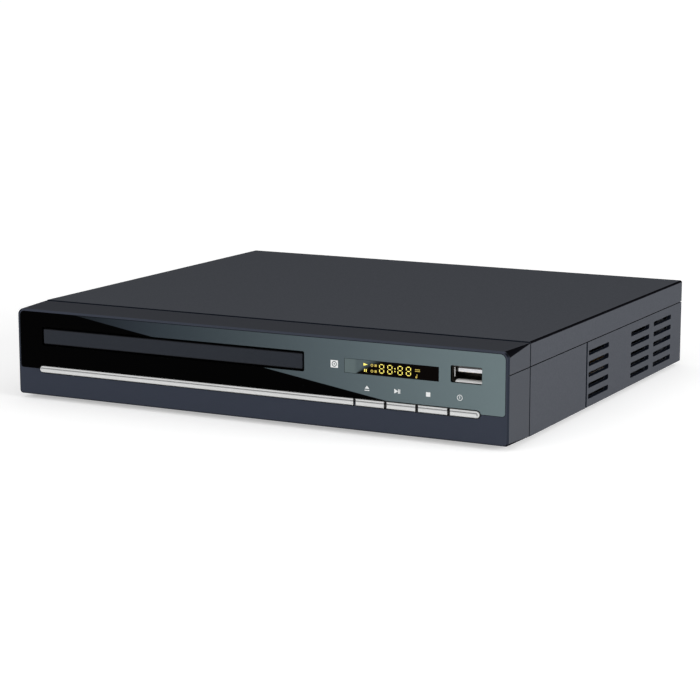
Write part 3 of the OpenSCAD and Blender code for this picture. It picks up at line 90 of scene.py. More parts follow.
class Sheet:
    """A node tree that is written one node at a time, each giving back its output."""

    def __init__(self, tree):
        self.tree = tree
        tree.nodes.clear()

    def add(self, kind, settings=None, inputs=None, output=0):
        """Makes a node: first its settings, then a link or a value for each socket."""
        node = self.tree.nodes.new(kind)
        for key, value in (settings or {}).items():
            if key == "stops":
                for place, _ in value[2:]:
                    node.color_ramp.elements.new(place)
                for element, stop in zip(node.color_ramp.elements, value):
                    element.position, element.color = stop
            else:
                setattr(node, key, value)
        for key, value in (inputs or {}).items():
            if isinstance(value, Signal):
                self.tree.links.new(value.socket, node.inputs[key])
            else:
                node.inputs[key].default_value = value
        return Signal(self, node.outputs[output]) if node.outputs else None

    def place(self):
        return self.add("ShaderNodeTexCoord", output="Object")

    def along(self, axis):
        return self.add("ShaderNodeSeparateXYZ", inputs={0: self.place()}, output=axis)

    def outside(self, axis, low, high):
        """How far a spot lies beyond low..high along an axis, below 0 between the two."""
        return abs(self.along(axis) - (low + high) / 2) - (high - low) / 2

    def turned(self):
        """How much the surface looks along x, y and z."""
        facing = self.add("ShaderNodeTexCoord", output="Normal")
        return [self.add("ShaderNodeSeparateXYZ", inputs={0: facing}, output=axis) for axis in range(3)]

    def noise(self, size, detail=2.0, stretch=(1, 1, 1)):
        spot = self.add("ShaderNodeMapping", inputs={"Vector": self.place(), "Scale": stretch})
        return self.add("ShaderNodeTexNoise", inputs={"Vector": spot, "Scale": 1 / size, "Detail": detail})

    def span(self, value, low, high, to_low=0.0, to_high=1.0):
        """Value taken from low..high to to_low..to_high, eased and held at its ends."""
        limits = [value, low, high, to_low, to_high]
        return self.add("ShaderNodeMapRange", {"interpolation_type": "SMOOTHSTEP"}, dict(enumerate(limits)))

    def below(self, value, low, high):
        """1 up to low, falling to 0 at high."""
        return self.span(value, low, high, 1.0, 0.0)

    def uneven(self, size, low, high, detail=2.0, stretch=(1, 1, 1)):
        """A roughness that wanders from low to high in patches of this size."""
        return self.span(self.noise(size, detail, stretch), 0.3, 0.7, low, high)

    def mix(self, share, first, second):
        """A Mix node's colours are its inputs 6 and 7, and what comes of them is its output 2."""
        return self.add("ShaderNodeMix", {"data_type": "RGBA"}, {0: share, 6: first, 7: second}, output=2)

    def bump(self, height, depth, strength=1.0, normal=None):
        inputs = {"Height": height, "Distance": depth, "Strength": strength}
        if normal:
            inputs["Normal"] = normal
        return self.add("ShaderNodeBump", inputs=inputs)

    def eased_edges(self, radius):
        return self.add("ShaderNodeBevel", {"samples": 6}, {"Radius": radius})

    def grained(self, size, depth, strength, edge, detail=2.0, stretch=(1, 1, 1)):
        """Bumps of this size and depth on a surface whose edges are eased to a radius."""
        return self.bump(self.noise(size, detail, stretch), depth, strength, self.eased_edges(edge))

    def open_air(self, reach):
        """1 in the open, falling to 0 in seams and pockets narrower than the reach."""
        openness = self.add("ShaderNodeAmbientOcclusion", {"samples": 8}, {"Distance": reach}, output="AO")
        return self.span(openness, 0.25, 0.75)

    def edges(self, radius):
        """1 on a sharp edge, falling to 0 at the radius from it."""
        flat = self.add("ShaderNodeNewGeometry", output="Normal")
        pair = {0: self.eased_edges(radius), 1: flat}
        likeness = self.add("ShaderNodeVectorMath", {"operation": "DOT_PRODUCT"}, pair, output="Value")
        return self.span(1 - likeness, 0.01, 0.25)


def finish(name, base, roughness, normal=None, metallic=0.0, **fixed):
    """A material. Where a value changes over the surface, it is a function of the material's sheet."""
    material = bpy.data.materials.new(name)
    material.use_nodes = True
    sheet = Sheet(material.node_tree)
    inputs = {key.replace("_", " "): value for key, value in fixed.items()}
    varied = {"Base Color": base, "Roughness": roughness, "Metallic": metallic, "Normal": normal}
    for key, value in varied.items():
        if value is not None:
            inputs[key] = value(sheet) if callable(value) else value
    shader = sheet.add("ShaderNodeBsdfPrincipled", inputs=inputs)
    sheet.add("ShaderNodeOutputMaterial", inputs={"Surface": shader})
    return material


def dress(material, *names):
    """Gives a finish to pieces that keep their own shape."""
    for name in names:
        nodes[name].data.materials.clear()
        nodes[name].data.materials.append(material)


def toned(colour, factor):
    return [factor * part for part in colour[:3]] + [1]


UNLIT = (0.003, 0.003, 0.004, 1)


def moulded(name, colour, wear_and_highlight, grain, edge, rough=0.5, gloss=0.3, tint_and_shade=None, metallic=0.0):
    """Grained plastic: specks in its colour, edges paler with wear and a painted highlight, painted shade in
    seams and pockets, and a pebbled surface.
    """
    def base(sheet):
        specks = sheet.span(sheet.noise(2 * grain), 0.35, 0.65)
        dye_and_shade = sheet.mix(specks, toned(colour, 0.96), toned(colour, 1.04))
        # The tint is painted shade on most pieces, and the collars' dye on the jacks.
        if tint_and_shade:
            dye_and_shade = tint_and_shade(sheet, dye_and_shade)
        # Paler edges: partly wear, partly a painted highlight.
        rubbed_and_highlit = sheet.mix(sheet.edges(edge) * sheet.noise(4 * MM), dye_and_shade, wear_and_highlight)
        # Painted shade in seams and pockets narrower than 1.2 mm.
        return sheet.mix(sheet.open_air(1.2 * MM), UNLIT, rubbed_and_highlit)

    def roughness(sheet):
        return sheet.uneven(9 * MM, rough - 0.015, rough + 0.015, 4.0)

    def normal(sheet):
        return sheet.grained(grain, 0.02 * MM, 0.5, edge, 3.0)

    return finish(name, base, roughness, normal, metallic, Specular_IOR_Level=gloss)


def dark_shoulder(sheet, colour):
    """The eased long edges under the cover's sides turn away from every light."""
    across, _, up = sheet.turned()
    return sheet.mix(sheet.span(abs(across * up), 0.08, 0.3), colour, UNLIT)


case_low, case_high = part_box("bottom_case")
cover_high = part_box("top_cover")[1]
# Painted shade in the side walls' vents and groove and on the edges behind the frame takes this colour.
PAINTED_SLOT_SHADE = (0.009, 0.012, 0.020, 1)
WALL = 1.8 * MM
SHOULDER_Z = cover_high.z - 4 * MM
REAR_RIM_Y = case_high.y - 0.4 * MM
FRAME_GAP = 0.8 * MM
SHELL_FRONT_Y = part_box("front_bezel")[1].y + FRAME_GAP
GROOVE_Y, GROOVE_W, GROOVE_DEEP, GROOVE_TOP = -23.2 * MM, 1.6 * MM, 0.8 * MM, 30.6 * MM


def shaded_shell(sheet, colour):
    """Dark in the side walls' vents and groove and on the edges behind the frame, and as above."""
    _, back, _ = sheet.turned()
    y, z = sheet.along(1), sheet.along(2)
    deep = 0 - sheet.outside(0, case_low.x, case_high.x)
    in_wall = sheet.span(deep, 0.05 * MM, 0.1 * MM) * sheet.below(deep, WALL, WALL + 0.1 * MM)
    over_foot = sheet.span(z, case_low.z + 0.1 * MM, case_low.z + 0.3 * MM)
    under_shoulder = sheet.below(z, SHOULDER_Z - 0.2 * MM, SHOULDER_Z)
    ahead_of_rim = sheet.below(y, REAR_RIM_Y - 0.2 * MM, REAR_RIM_Y)
    in_vent = in_wall * over_foot * under_shoulder * ahead_of_rim
    off_groove = sheet.outside(1, GROOVE_Y - GROOVE_W / 2, GROOVE_Y + GROOVE_W / 2)
    in_groove = sheet.below(off_groove, -0.05 * MM, 0.05 * MM)
    in_groove *= sheet.below(deep, GROOVE_DEEP - 0.1 * MM, GROOVE_DEEP)
    in_groove *= sheet.below(z, GROOVE_TOP - 0.1 * MM, GROOVE_TOP)
    looks_ahead = sheet.span(0 - back, 0.5, 0.8)
    behind_frame = looks_ahead * sheet.below(y, SHELL_FRONT_Y + 0.2 * MM, SHELL_FRONT_Y + 0.3 * MM)
    sunk = in_vent.most(in_groove)
    return dark_shoulder(sheet, sheet.mix(sunk.most(behind_frame), colour, PAINTED_SLOT_SHADE))


shell = moulded(
    "shell_grain", (0.062, 0.066, 0.076, 1), (0.085, 0.09, 0.10, 1),
    grain=0.35 * MM, edge=0.35 * MM, rough=0.6, gloss=0.0, tint_and_shade=shaded_shell,
)
dress(shell, "bottom_case", "top_cover")

# ---------------------------------------------------------------------------
# Front frame
# The same plastic with a finer grain, under painted shade that turns its face bluer and darker and darkens
# its top, its corners and a thin rim round the panel. Its hooks go into the tub's floor and cover, and its
# upper edge falls a little towards the face.
# ---------------------------------------------------------------------------

panel_low, panel_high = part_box("window_panel")
PANEL_TOP_R, PANEL_LOW_R = 2.3 * MM, 1.2 * MM
# Colours of painted shade on the frame's top, face and corners.
TOP_SHADE = (0.043, 0.0455, 0.053, 1)
FACE_SHADE = (0.045, 0.052, 0.072, 1)
CORNER_SHADE = (0.022, 0.026, 0.036, 1)


def face_painted_shade(sheet, colour):
    """Painted shade: bluer and darker on the frame's face, darker on its top, at its corners and in a thin
    rim round the panel.
    """
    side, back, up = sheet.turned()
    top_shaded = sheet.mix(sheet.span(up, 0.6, 0.95), colour, TOP_SHADE)
    face_shaded = sheet.mix(sheet.span(0 - back, 0.5, 0.8), top_shaded, FACE_SHADE)
    middle = (panel_low.z + panel_high.z) / 2
    round_off = sheet.span(sheet.along(2), middle - 1 * MM, middle + 1 * MM, PANEL_LOW_R, PANEL_TOP_R)
    over = (sheet.outside(0, panel_low.x, panel_high.x) + round_off).most(0.0)
    rise = (sheet.outside(2, panel_low.z, panel_high.z) + round_off).most(0.0)
    rim = (over * over + rise * rise).root() - round_off
    panel_rim_shaded = sheet.mix(sheet.span(rim, 0.1 * MM, 0.25 * MM), UNLIT, face_shaded)
    corner = sheet.span(abs(side * back), 0.15, 0.4)
    return dark_shoulder(sheet, sheet.mix(corner, panel_rim_shaded, CORNER_SHADE))


fascia = moulded(
    "fascia_grain", (0.060, 0.064, 0.073, 1), (0.075, 0.08, 0.09, 1),
    grain=0.22 * MM, edge=0.3 * MM, rough=0.6, gloss=0.0, tint_and_shade=face_painted_shade,
)
dress(fascia, "front_bezel")

# ---------------------------------------------------------------------------
# Glossy front panel
# A 2 mm acrylic plate, given a solid black print from behind before it is stuck into the frame. Its lower
# left stays black, and above a shallow curve lies a painted reflection, a blue-grey that grows lighter
# towards the right.
# ---------------------------------------------------------------------------

CURVE_LEFT = -86.1 * MM
CURVE_RUN = 149.5 * MM
CURVE_TOP = case_low.z + 37.0 * MM
CURVE_FALL = 23.7 * MM
CURVE_SAG = 0.5 * MM
SHEEN_RUN = 202 * MM
PRINT_BLACK = (0.0003, 0.0003, 0.0004, 1)
# Stops of a painted reflection: a blue-grey that grows lighter towards the right.
SHEEN_TONES = [
    (0.0, (0.0135, 0.0170, 0.0210, 1)),
    (0.13, (0.0286, 0.0364, 0.0463, 1)),
    (0.28, (0.0446, 0.0589, 0.0696, 1)),
    (0.43, (0.0655, 0.085, 0.0955, 1)),
    (0.65, (0.1015, 0.1325, 0.1456, 1)),
    (0.87, (0.143, 0.188, 0.1995, 1)),
    (1.0, (0.160, 0.210, 0.220, 1)),
]


def black_with_painted_sheen(sheet):
    """Black below the curve and round the plate's edges, and a painted blue-grey reflection above it."""
    x, z = sheet.along(0), sheet.along(2)
    share = (x - CURVE_LEFT) / CURVE_RUN
    curve = CURVE_TOP - CURVE_FALL * share + CURVE_SAG * share * share
    sheen_tone = sheet.add("ShaderNodeValToRGB", {"stops": SHEEN_TONES}, {0: (x - CURVE_LEFT) / SHEEN_RUN})
    black_and_sheen = sheet.mix(sheet.span(z - curve, -0.1 * MM, 0.1 * MM), PRINT_BLACK, sheen_tone)
    _, back, _ = sheet.turned()
    return sheet.mix(sheet.span(0 - back, 0.3, 0.6), PRINT_BLACK, black_and_sheen)


panel_gloss = finish(
    "panel_black_and_sheen",
    black_with_painted_sheen,
    lambda sheet: sheet.span(sheet.noise(6 * MM, 5.0), 0.35, 0.75, 0.05, 0.12),
    lambda sheet: sheet.eased_edges(0.15 * MM),
    Specular_IOR_Level=0.01,
)
dress(panel_gloss, "window_panel")

# ---------------------------------------------------------------------------
# Signs on the panel
# White screen print, a few hundredths of a millimetre thick: a mark for each button and a small
# plate left of the display.
# ---------------------------------------------------------------------------

INK = 0.02 * MM


def bar(marks, x, z, width, height):
    """Marks are drawn flat with z as their y, and all their sizes are in millimetres."""
    made = bmesh.ops.create_grid(marks, x_segments=1, y_segments=1, size=0.5)["verts"]
    bmesh.ops.scale(marks, vec=(width * MM, height * MM, 1), verts=made)
    bmesh.ops.translate(marks, vec=(x * MM, z * MM, 0), verts=made)


def disc(marks, x, z, radius, sides=48):
    made = bmesh.ops.create_circle(marks, cap_ends=True, radius=radius * MM, segments=sides)["verts"]
    bmesh.ops.translate(marks, vec=(x * MM, z * MM, 0), verts=made)


def ring(marks, x, z, inner, outer):
    loops = []
    for radius in (inner, outer):
        made = bmesh.ops.create_circle(marks, radius=radius * MM, segments=48)["verts"]
        bmesh.ops.translate(marks, vec=(x * MM, z * MM, 0), verts=made)
        loops += {edge for vert in made for edge in vert.link_edges}
    bmesh.ops.bridge_loops(marks, edges=loops)


def triangle(marks, x, z, width, height, turn=0.0):
    """Its tip points up, or where the turn in degrees takes it."""
    made = bmesh.ops.create_circle(marks, cap_ends=True, radius=1, segments=3)["verts"]
    bmesh.ops.scale(marks, vec=(width * MM / math.sqrt(3), height * MM / 1.5, 1), verts=made)
    bmesh.ops.rotate(marks, matrix=Matrix.Rotation(math.radians(turn), 3, "Z"), verts=made)
    bmesh.ops.translate(marks, vec=(x * MM, z * MM, 0), verts=made)


def placed(shape, name, material):
    """Puts a finished shape into the scene as an object."""
    mesh = bpy.data.meshes.new(name)
    shape.to_mesh(mesh)
    shape.free()
    mesh.materials.append(material)
    piece = bpy.data.objects.new(name, mesh)
    bpy.context.scene.collection.objects.link(piece)
    return piece


def print_on_face(marks, name, material, proud=INK):
    """Stands flat marks up against the panel, raises them out of it and makes them one piece."""
    front = bmesh.ops.extrude_face_region(marks, geom=marks.faces[:])["geom"]
    lifted = [item for item in front if isinstance(item, bmesh.types.BMVert)]
    bmesh.ops.translate(marks, vec=(0, 0, proud), verts=lifted)
    upright = Matrix.Rotation(math.radians(90), 4, "X")
    on_panel = Matrix.Translation((0, panel_low.y, case_low.z))
    bmesh.ops.transform(marks, matrix=on_panel @ upright, verts=marks.verts[:])
    bmesh.ops.recalc_face_normals(marks, faces=marks.faces[:])
    # The operators leave the faces in an order that changes from run to run.
    marks.verts.index_update()
    ordered = sorted(marks.faces, key=lambda face: sorted(vert.index for vert in face.verts))
    for count, face in enumerate(ordered):
        face.index = count
    marks.faces.sort()
    piece = placed(marks, name, material)
    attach(piece, "case")


def ink(name, colour):
    """Screen ink: a faint mottle in its colour and a dull, slightly uneven surface."""
    return finish(
        name,
        lambda sheet: sheet.mix(sheet.noise(0.4 * MM), colour, toned(colour, 0.9)),
        lambda sheet: sheet.uneven(0.3 * MM, 0.45, 0.6),
        lambda sheet: sheet.bump(sheet.noise(0.15 * MM), 0.003 * MM),
        Specular_IOR_Level=0.2,
    )


SIGN_Z = 18.05
EJECT_X, PLAY_X, STOP_X, POWER_X = 55.5, 69.0, 83.0, 96.9
signs = bmesh.new()
triangle(signs, EJECT_X, SIGN_Z + 0.25, 2.1, 1.3)
bar(signs, EJECT_X, SIGN_Z - 0.85, 2.2, 0.32)
triangle(signs, PLAY_X - 0.55, SIGN_Z, 1.9, 1.7, turn=-90)
for offset in (0.75, 1.35):
    bar(signs, PLAY_X + offset, SIGN_Z, 0.36, 1.8)
bar(signs, STOP_X, SIGN_Z, 1.9, 1.8)
ring(signs, POWER_X, SIGN_Z, 0.98, 1.2)
bar(signs, POWER_X, SIGN_Z + 0.1, 0.26, 1.1)
white_ink = ink("white_ink", (0.93, 0.94, 0.94, 1))
print_on_face(signs, "button_signs", white_ink)

PLATE_X, PLATE_Z = 40.5, 26.85
plate = bmesh.new()
bar(plate, PLATE_X, PLATE_Z, 3.4, 3.1)
print_on_face(plate, "panel_plate", white_ink)
plate_ring = bmesh.new()
ring(plate_ring, PLATE_X, PLATE_Z, 0.85, 1.15)
disc(plate_ring, PLATE_X, PLATE_Z, 0.3)
grey_ink = ink("grey_ink", (0.10, 0.13, 0.135, 1))
print_on_face(plate_ring, "panel_plate_ring", grey_ink, proud=2 * INK)

# ---------------------------------------------------------------------------
# Display
# A smoked acrylic window in front of the display module. Its figures glow amber through the smoke,
# with a play and a pause sign at their left, and are laid on its face as thin raised bars.
# ---------------------------------------------------------------------------

window_low, window_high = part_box("display_lens")
SMOKE = (0.0018, 0.0008, 0.0005, 1)
SHEEN_LEFT, SHEEN_RIGHT = (0.126, 0.163, 0.167, 1), (0.098, 0.129, 0.136, 1)


def smoked_base(sheet):
    """A painted sheen at its left end, which gives way to the smoke further in and more softly higher up."""
    reach = sheet.along(0) - window_low.x
    rise = (sheet.along(2) - window_low.z) / (window_high.z - window_low.z)
    start = reach - 5 * MM - 4 * MM * rise
    dark = sheet.span(start / (0.4 * MM + 9 * MM * rise), 0.0, 1.0)
    # The painted sheen, lighter at the window's left end.
    clear = sheet.mix(sheet.span(reach, 4 * MM, 6 * MM), SHEEN_LEFT, SHEEN_RIGHT)
    return sheet.mix(dark, clear, SMOKE)


smoked = finish(
    "smoked_window",
    smoked_base,
    lambda sheet: sheet.span(sheet.noise(5 * MM, 4.0), 0.35, 0.75, 0.05, 0.1),
    lambda sheet: sheet.eased_edges(0.1 * MM),
    Specular_IOR_Level=0.02,
)
dress(smoked, "display_lens")

DIGIT_MIDDLES = (62.15, 65.85, 70.45, 74.2)
DIGIT_Z = 26.68
DIGIT_W, DIGIT_H, STROKE = 2.2, 3.75, 0.3
UPRIGHT_H = DIGIT_H / 2 - 2.6 * STROKE
COLON_X, COLON_RISE = 68.15, 0.55
digits = bmesh.new()
for middle in DIGIT_MIDDLES:
    for row in (-1, 0, 1):
        bar(digits, middle, DIGIT_Z + row * (DIGIT_H - STROKE) / 2, DIGIT_W - 3.2 * STROKE, STROKE)
    for side in (-1, 1):
        x = middle + side * (DIGIT_W - STROKE) / 2
        for half in (-1, 1):
            bar(digits, x, DIGIT_Z + half * DIGIT_H / 4, STROKE, UPRIGHT_H)
for half in (-1, 1):
    disc(digits, COLON_X, DIGIT_Z + COLON_RISE * half, 0.24, sides=16)

PLAY_SIGN = (54.55, 27.85)
PAUSE_X, PAUSE_Z = 54.8, 25.4
triangle(digits, *PLAY_SIGN, 1.1, 1.9, turn=-90)
for offset in (-0.38, 0.38):
    bar(digits, PAUSE_X + offset, PAUSE_Z, 0.35, 1.15)

UPPER_Z, LOWER_Z = 27.75, 25.35
CIRCLE_X, SQUARE_X, DASH_X = 57.75, 59.45, 78.2
DASH_Z = 27.7
NOTE_HEAD, NOTE_STEM = (77.7, 24.6), (78.0, 25.2)
marks = bmesh.new()
for z in (UPPER_Z, LOWER_Z):
    ring(marks, CIRCLE_X, z, 0.3, 0.6)
    bar(marks, SQUARE_X, z, 1.0, 0.95)
for offset in (0, 0.65):
    bar(marks, DASH_X, DASH_Z - offset, 2.2, 0.28)
disc(marks, *NOTE_HEAD, 0.42, sides=24)
bar(marks, *NOTE_STEM, 0.24, 1.3)


def lit(name, colour, strength):
    """A figure that gives off light of its own colour, a little weaker in spots."""
    return finish(
        name,
        lambda sheet: sheet.mix(sheet.noise(0.5 * MM), colour, toned(colour, 0.8)),
        lambda sheet: sheet.uneven(1 * MM, 0.3, 0.4),
        Emission_Color=colour,
        Emission_Strength=strength,
        Specular_IOR_Level=0.1,
    )


dim_amber = lit("amber_dim", (0.55, 0.42, 0.09, 1), strength=0.3)
bright_amber = lit("amber_glow", (0.92, 0.78, 0.16, 1), strength=0.7)
print_on_face(marks, "display_marks", dim_amber)
print_on_face(digits, "display_figures", bright_amber)

# ---------------------------------------------------------------------------
# Bright strip and buttons
# Plated ABS. The strip clips into the frame below the panel, and the four keys continue its line,
# each on a stalk that reaches a push switch on the front board.
# ---------------------------------------------------------------------------

strip_low, strip_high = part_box("trim_strip")
power_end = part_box("power_button")[1].x
PLATING, LIP_FOOT_SHADE, PLATED_EDGE_HIGHLIGHT = (0.64, 0.645, 0.64, 1), (0.28, 0.285, 0.29, 1), (0.80, 0.81, 0.81, 1)
# Both are shares of the strip's height: how far the line is from its middle, and how wide it fades.
LIP_FOOT_RISE, LIP_FOOT_HALF = 0.185, 0.17


def plated_base(sheet):
    """Bright, with a painted shade line along the foot of its lip, which turns down at the last key's end,
    and painted highlights on its edges.
    """
    height = strip_high.z - strip_low.z
    rise = (sheet.along(2) - strip_low.z) / height - 0.5
    reach = ((sheet.along(0) - power_end) / height + 0.5).most(0.0)
    from_middle = (rise * rise + reach * reach).root()
    on_line = sheet.below(abs(from_middle - LIP_FOOT_RISE), 0.01, LIP_FOOT_HALF)
    upper_half = sheet.span(rise + reach, 0.0, 0.05)
    # Painted shade along the foot of the lip.
    surface = sheet.mix(on_line * upper_half, PLATING, LIP_FOOT_SHADE)
    # Painted highlights on the edges.
    return sheet.mix(sheet.edges(0.12 * MM), surface, PLATED_EDGE_HIGHLIGHT)


plated = finish(
    "plated_trim",
    plated_base,
    lambda sheet: sheet.uneven(1.2 * MM, 0.28, 0.4, 4.0, stretch=(0.05, 1, 1)),
    lambda sheet: sheet.grained(0.3 * MM, 0.004 * MM, 1.0, 0.12 * MM, 3.0, stretch=(0.02, 1, 1)),
    metallic=0.85,
)
dress(plated, "trim_strip", "eject_button", "play_button", "stop_button", "power_button")

# ---------------------------------------------------------------------------
# USB socket
# A folded nickel-plated shell on the front board, with spring tabs in its floor and roof. Four gilt
# contacts lie along the underside of its pale tongue.
# ---------------------------------------------------------------------------


def metal(name, colour, rough, scale=0.6 * MM, stretch=(1, 1, 1)):
    """Bare or plated metal with fine drawing marks and small differences in shine."""
    return finish(
        name,
        lambda sheet: sheet.mix(sheet.noise(5 * MM), colour, toned(colour, 0.86)),
        lambda sheet: sheet.uneven(scale, rough - 0.07, rough + 0.07, 4.0, stretch),
        lambda sheet: sheet.grained(scale / 2, 0.004 * MM, 0.6, 0.1 * MM, 3.0, stretch),
        metallic=1.0,
    )


usb_low, usb_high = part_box("usb_shell")
tongue_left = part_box("usb_tongue")[0].x
USB_MOUTH = 13.4 * MM
USB_LEFT = (usb_low.x + usb_high.x - USB_MOUTH) / 2
TONGUE_SHADE = (0.05, 0.047, 0.04, 1)
SHELL_SHADE, SHELL_HIGHLIGHT = (0.036, 0.034, 0.028, 1), (0.95, 0.95, 0.94, 1)


def shaded_tongue(sheet, colour):
    """The tongue's left end and the block that holds it lie in the dark of the shell."""
    at_block = sheet.span(sheet.along(1) - usb_low.y, 8 * MM, 10 * MM)
    at_end = sheet.below(sheet.along(0) - tongue_left, 1.2 * MM, 1.5 * MM)
    return sheet.mix(at_block.most(at_end), colour, TONGUE_SHADE)


def lit_lips(sheet):
    """1 on the lip along the floor of the mouth and on a bar of the left wall, 0 on the rest."""
    inward = sheet.along(0) - USB_LEFT
    depth = sheet.along(1) - usb_low.y
    height = sheet.along(2) - usb_low.z
    lip = sheet.below(height, 1.9 * MM, 2.1 * MM) * sheet.below(depth, 3.2 * MM, 3.5 * MM)
    lip *= sheet.span(inward, 1.4 * MM, 1.6 * MM)
    bar_on_wall = sheet.below(abs(depth - 1.75 * MM), 0.6 * MM, 0.75 * MM)
    bar_on_wall *= sheet.below(inward, 1.0 * MM, 1.1 * MM)
    bar_on_wall *= sheet.span(height, 1.5 * MM, 2 * MM)
    return lip.most(bar_on_wall)


# The shell's colour is painted shade, with painted highlights on its lit lips.
usb_nickel = finish(
    "usb_nickel",
    lambda sheet: sheet.mix(lit_lips(sheet), SHELL_SHADE, SHELL_HIGHLIGHT),
    lambda sheet: sheet.uneven(0.6 * MM, 0.3, 0.42, 4.0),
    lambda sheet: sheet.grained(0.3 * MM, 0.002 * MM, 0.4, 0.08 * MM, 3.0),
    metallic=lambda sheet: 0.9 - 0.8 * lit_lips(sheet),
)
tongue_plastic = moulded(
    "tongue_plastic", (0.90, 0.90, 0.92, 1), (0.95, 0.95, 0.96, 1),
    grain=0.15 * MM, edge=0.1 * MM, tint_and_shade=shaded_tongue, metallic=0.5,
)
gilt = metal("gilt", (0.80, 0.60, 0.26, 1), 0.22)
dress(usb_nickel, "usb_shell")
dress(tongue_plastic, "usb_tongue")
dress(gilt, "usb_contacts")

# ---------------------------------------------------------------------------
# Disc tray
# Black ABS with the wells for a large and a small disc. Its door is dyed like the frame and clips to
# its front edge, and a rack for the loading gear runs under its right side.
# ---------------------------------------------------------------------------

door_low, door_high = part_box("tray_door")


def dark_rim(sheet, colour):
    """The long edges of the door are rounded off and turn away from the light."""
    inside = sheet.outside(2, door_low.z, door_high.z)
    return sheet.mix(sheet.span(inside, -0.3 * MM, -0.15 * MM), colour, UNLIT)


door_grain = moulded(
    "door_grain", (0.023, 0.0265, 0.034, 1), (0.05, 0.055, 0.07, 1),
    grain=0.22 * MM, edge=0.2 * MM, rough=0.6, gloss=0.1, tint_and_shade=dark_rim,
)
tray_grain = moulded(
    "tray_grain", (0.016, 0.017, 0.019, 1), (0.035, 0.036, 0.04, 1), grain=0.3 * MM, edge=0.25 * MM
)
dress(door_grain, "tray_door")
dress(tray_grain, "disc_tray")

# ---------------------------------------------------------------------------
# Loader
# A black moulded chassis screwed into the tub. A small motor turns a pulley, belt and two gears that
# drive the tray's rack, and a sliding cam lifts the disc drive under a sprung clamp.
# ---------------------------------------------------------------------------

BLACK_MOULDING = {
    "colour": (0.010, 0.0105, 0.012, 1),
    "wear_and_highlight": (0.02, 0.02, 0.022, 1),
    "grain": 0.2 * MM,
    "edge": 0.15 * MM,
}
black_plastic = moulded("black_moulding", **BLACK_MOULDING)
acetal = finish(
    "acetal",
    lambda sheet: sheet.mix(sheet.noise(6 * MM), (0.66, 0.62, 0.53, 1), (0.58, 0.54, 0.45, 1)),
    lambda sheet: sheet.uneven(1 * MM, 0.38, 0.5, 3.0),
    lambda sheet: sheet.grained(0.4 * MM, 0.006 * MM, 0.6, 0.1 * MM),
    Specular_IOR_Level=0.4,
    Subsurface_Weight=0.05,
)
zinc_sheet = metal("zinc_sheet", (0.56, 0.57, 0.59, 1), 0.36, 1.5 * MM, stretch=(0.1, 1, 1))
screw_metal = metal("screw_plating", (0.50, 0.51, 0.53, 1), 0.3)
rubber = finish(
    "rubber",
    lambda sheet: sheet.mix(sheet.noise(3 * MM), (0.012, 0.012, 0.013, 1), (0.022, 0.022, 0.023, 1)),
    lambda sheet: sheet.uneven(2 * MM, 0.7, 0.85, 4.0),
    lambda sheet: sheet.grained(0.25 * MM, 0.01 * MM, 0.7, 0.3 * MM),
    Specular_IOR_Level=0.25,
)
dress(black_plastic, "loader_chassis")
dress(screw_metal, "chassis_screws", "motor_pulley", "case_screws", "board_screws")
dress(acetal, "drive_gear", "belt_pulley", "cam_slider", "clamp_puck")
dress(rubber, "loading_belt", "feet", "frame_grommets")
dress(zinc_sheet, "loading_motor", "clamp_bridge", "clamp_yoke")

# ---------------------------------------------------------------------------
# Disc drive
# A glass-filled frame on rubber bushes holds the spindle motor and two ground rods. The pickup slides
# on the rods, moved by a rack and gear from its own small motor.
# ---------------------------------------------------------------------------

grey_plastic = moulded(
    "filled_plastic", (0.035, 0.037, 0.042, 1), (0.06, 0.062, 0.07, 1),
    grain=0.5 * MM, edge=0.2 * MM, rough=0.55,
)
brass = metal("brass", (0.66, 0.50, 0.22, 1), 0.28)
optic = finish(
    "coated_lens",
    lambda sheet: sheet.mix(sheet.noise(2 * MM), (0.07, 0.12, 0.30, 1), (0.16, 0.10, 0.32, 1)),
    lambda sheet: sheet.uneven(1 * MM, 0.03, 0.06),
    Specular_IOR_Level=0.8,
    Coat_Weight=0.6,
)
dress(grey_plastic, "drive_frame", "pickup_sled")
dress(screw_metal, "spindle_base", "guide_rods")
dress(zinc_sheet, "spindle_rotor", "sled_motor")
dress(black_plastic, "turntable")
dress(optic, "objective_lens")
dress(acetal, "sled_gear")
dress(brass, "sled_pinion")

# ---------------------------------------------------------------------------
# Circuit boards
# A green glass-epoxy board carries the signal parts and sockets, and a tan paper board the supply:
# transformer, capacitors and heat sink. Copper tracks show through the resist.
# ---------------------------------------------------------------------------

TIN = (0.36, 0.37, 0.36, 1)


def board(name, colour, track, pitch):
    """Solder resist over runs of copper, which turn from one square patch to the next, and tinned pads."""
    def tracks(sheet):
        squares = {"Vector": sheet.place(), "Scale": 1 / (8 * pitch)}
        patch = sheet.add("ShaderNodeTexVoronoi", {"distance": "CHEBYCHEV"}, squares, output="Color")
        turn = sheet.span(patch, 0.45, 0.5)
        run = sheet.along(0) * turn + (sheet.along(1) + sheet.along(2)) * (1 - turn)
        return sheet.span((run * (math.tau / pitch)).sine(), 0.0, 0.3)

    def pads(sheet):
        spots = {"Vector": sheet.place(), "Scale": 1 / (3 * pitch), "Randomness": 0.6}
        return sheet.below(sheet.add("ShaderNodeTexVoronoi", inputs=spots), 0.13, 0.16)

    return finish(
        name,
        lambda sheet: sheet.mix(pads(sheet), sheet.mix(tracks(sheet), colour, track), TIN),
        lambda sheet: sheet.uneven(3 * MM, 0.3, 0.42),
        lambda sheet: sheet.bump(tracks(sheet), 0.03 * MM, 0.6, sheet.eased_edges(0.1 * MM)),
        Specular_IOR_Level=0.4,
    )


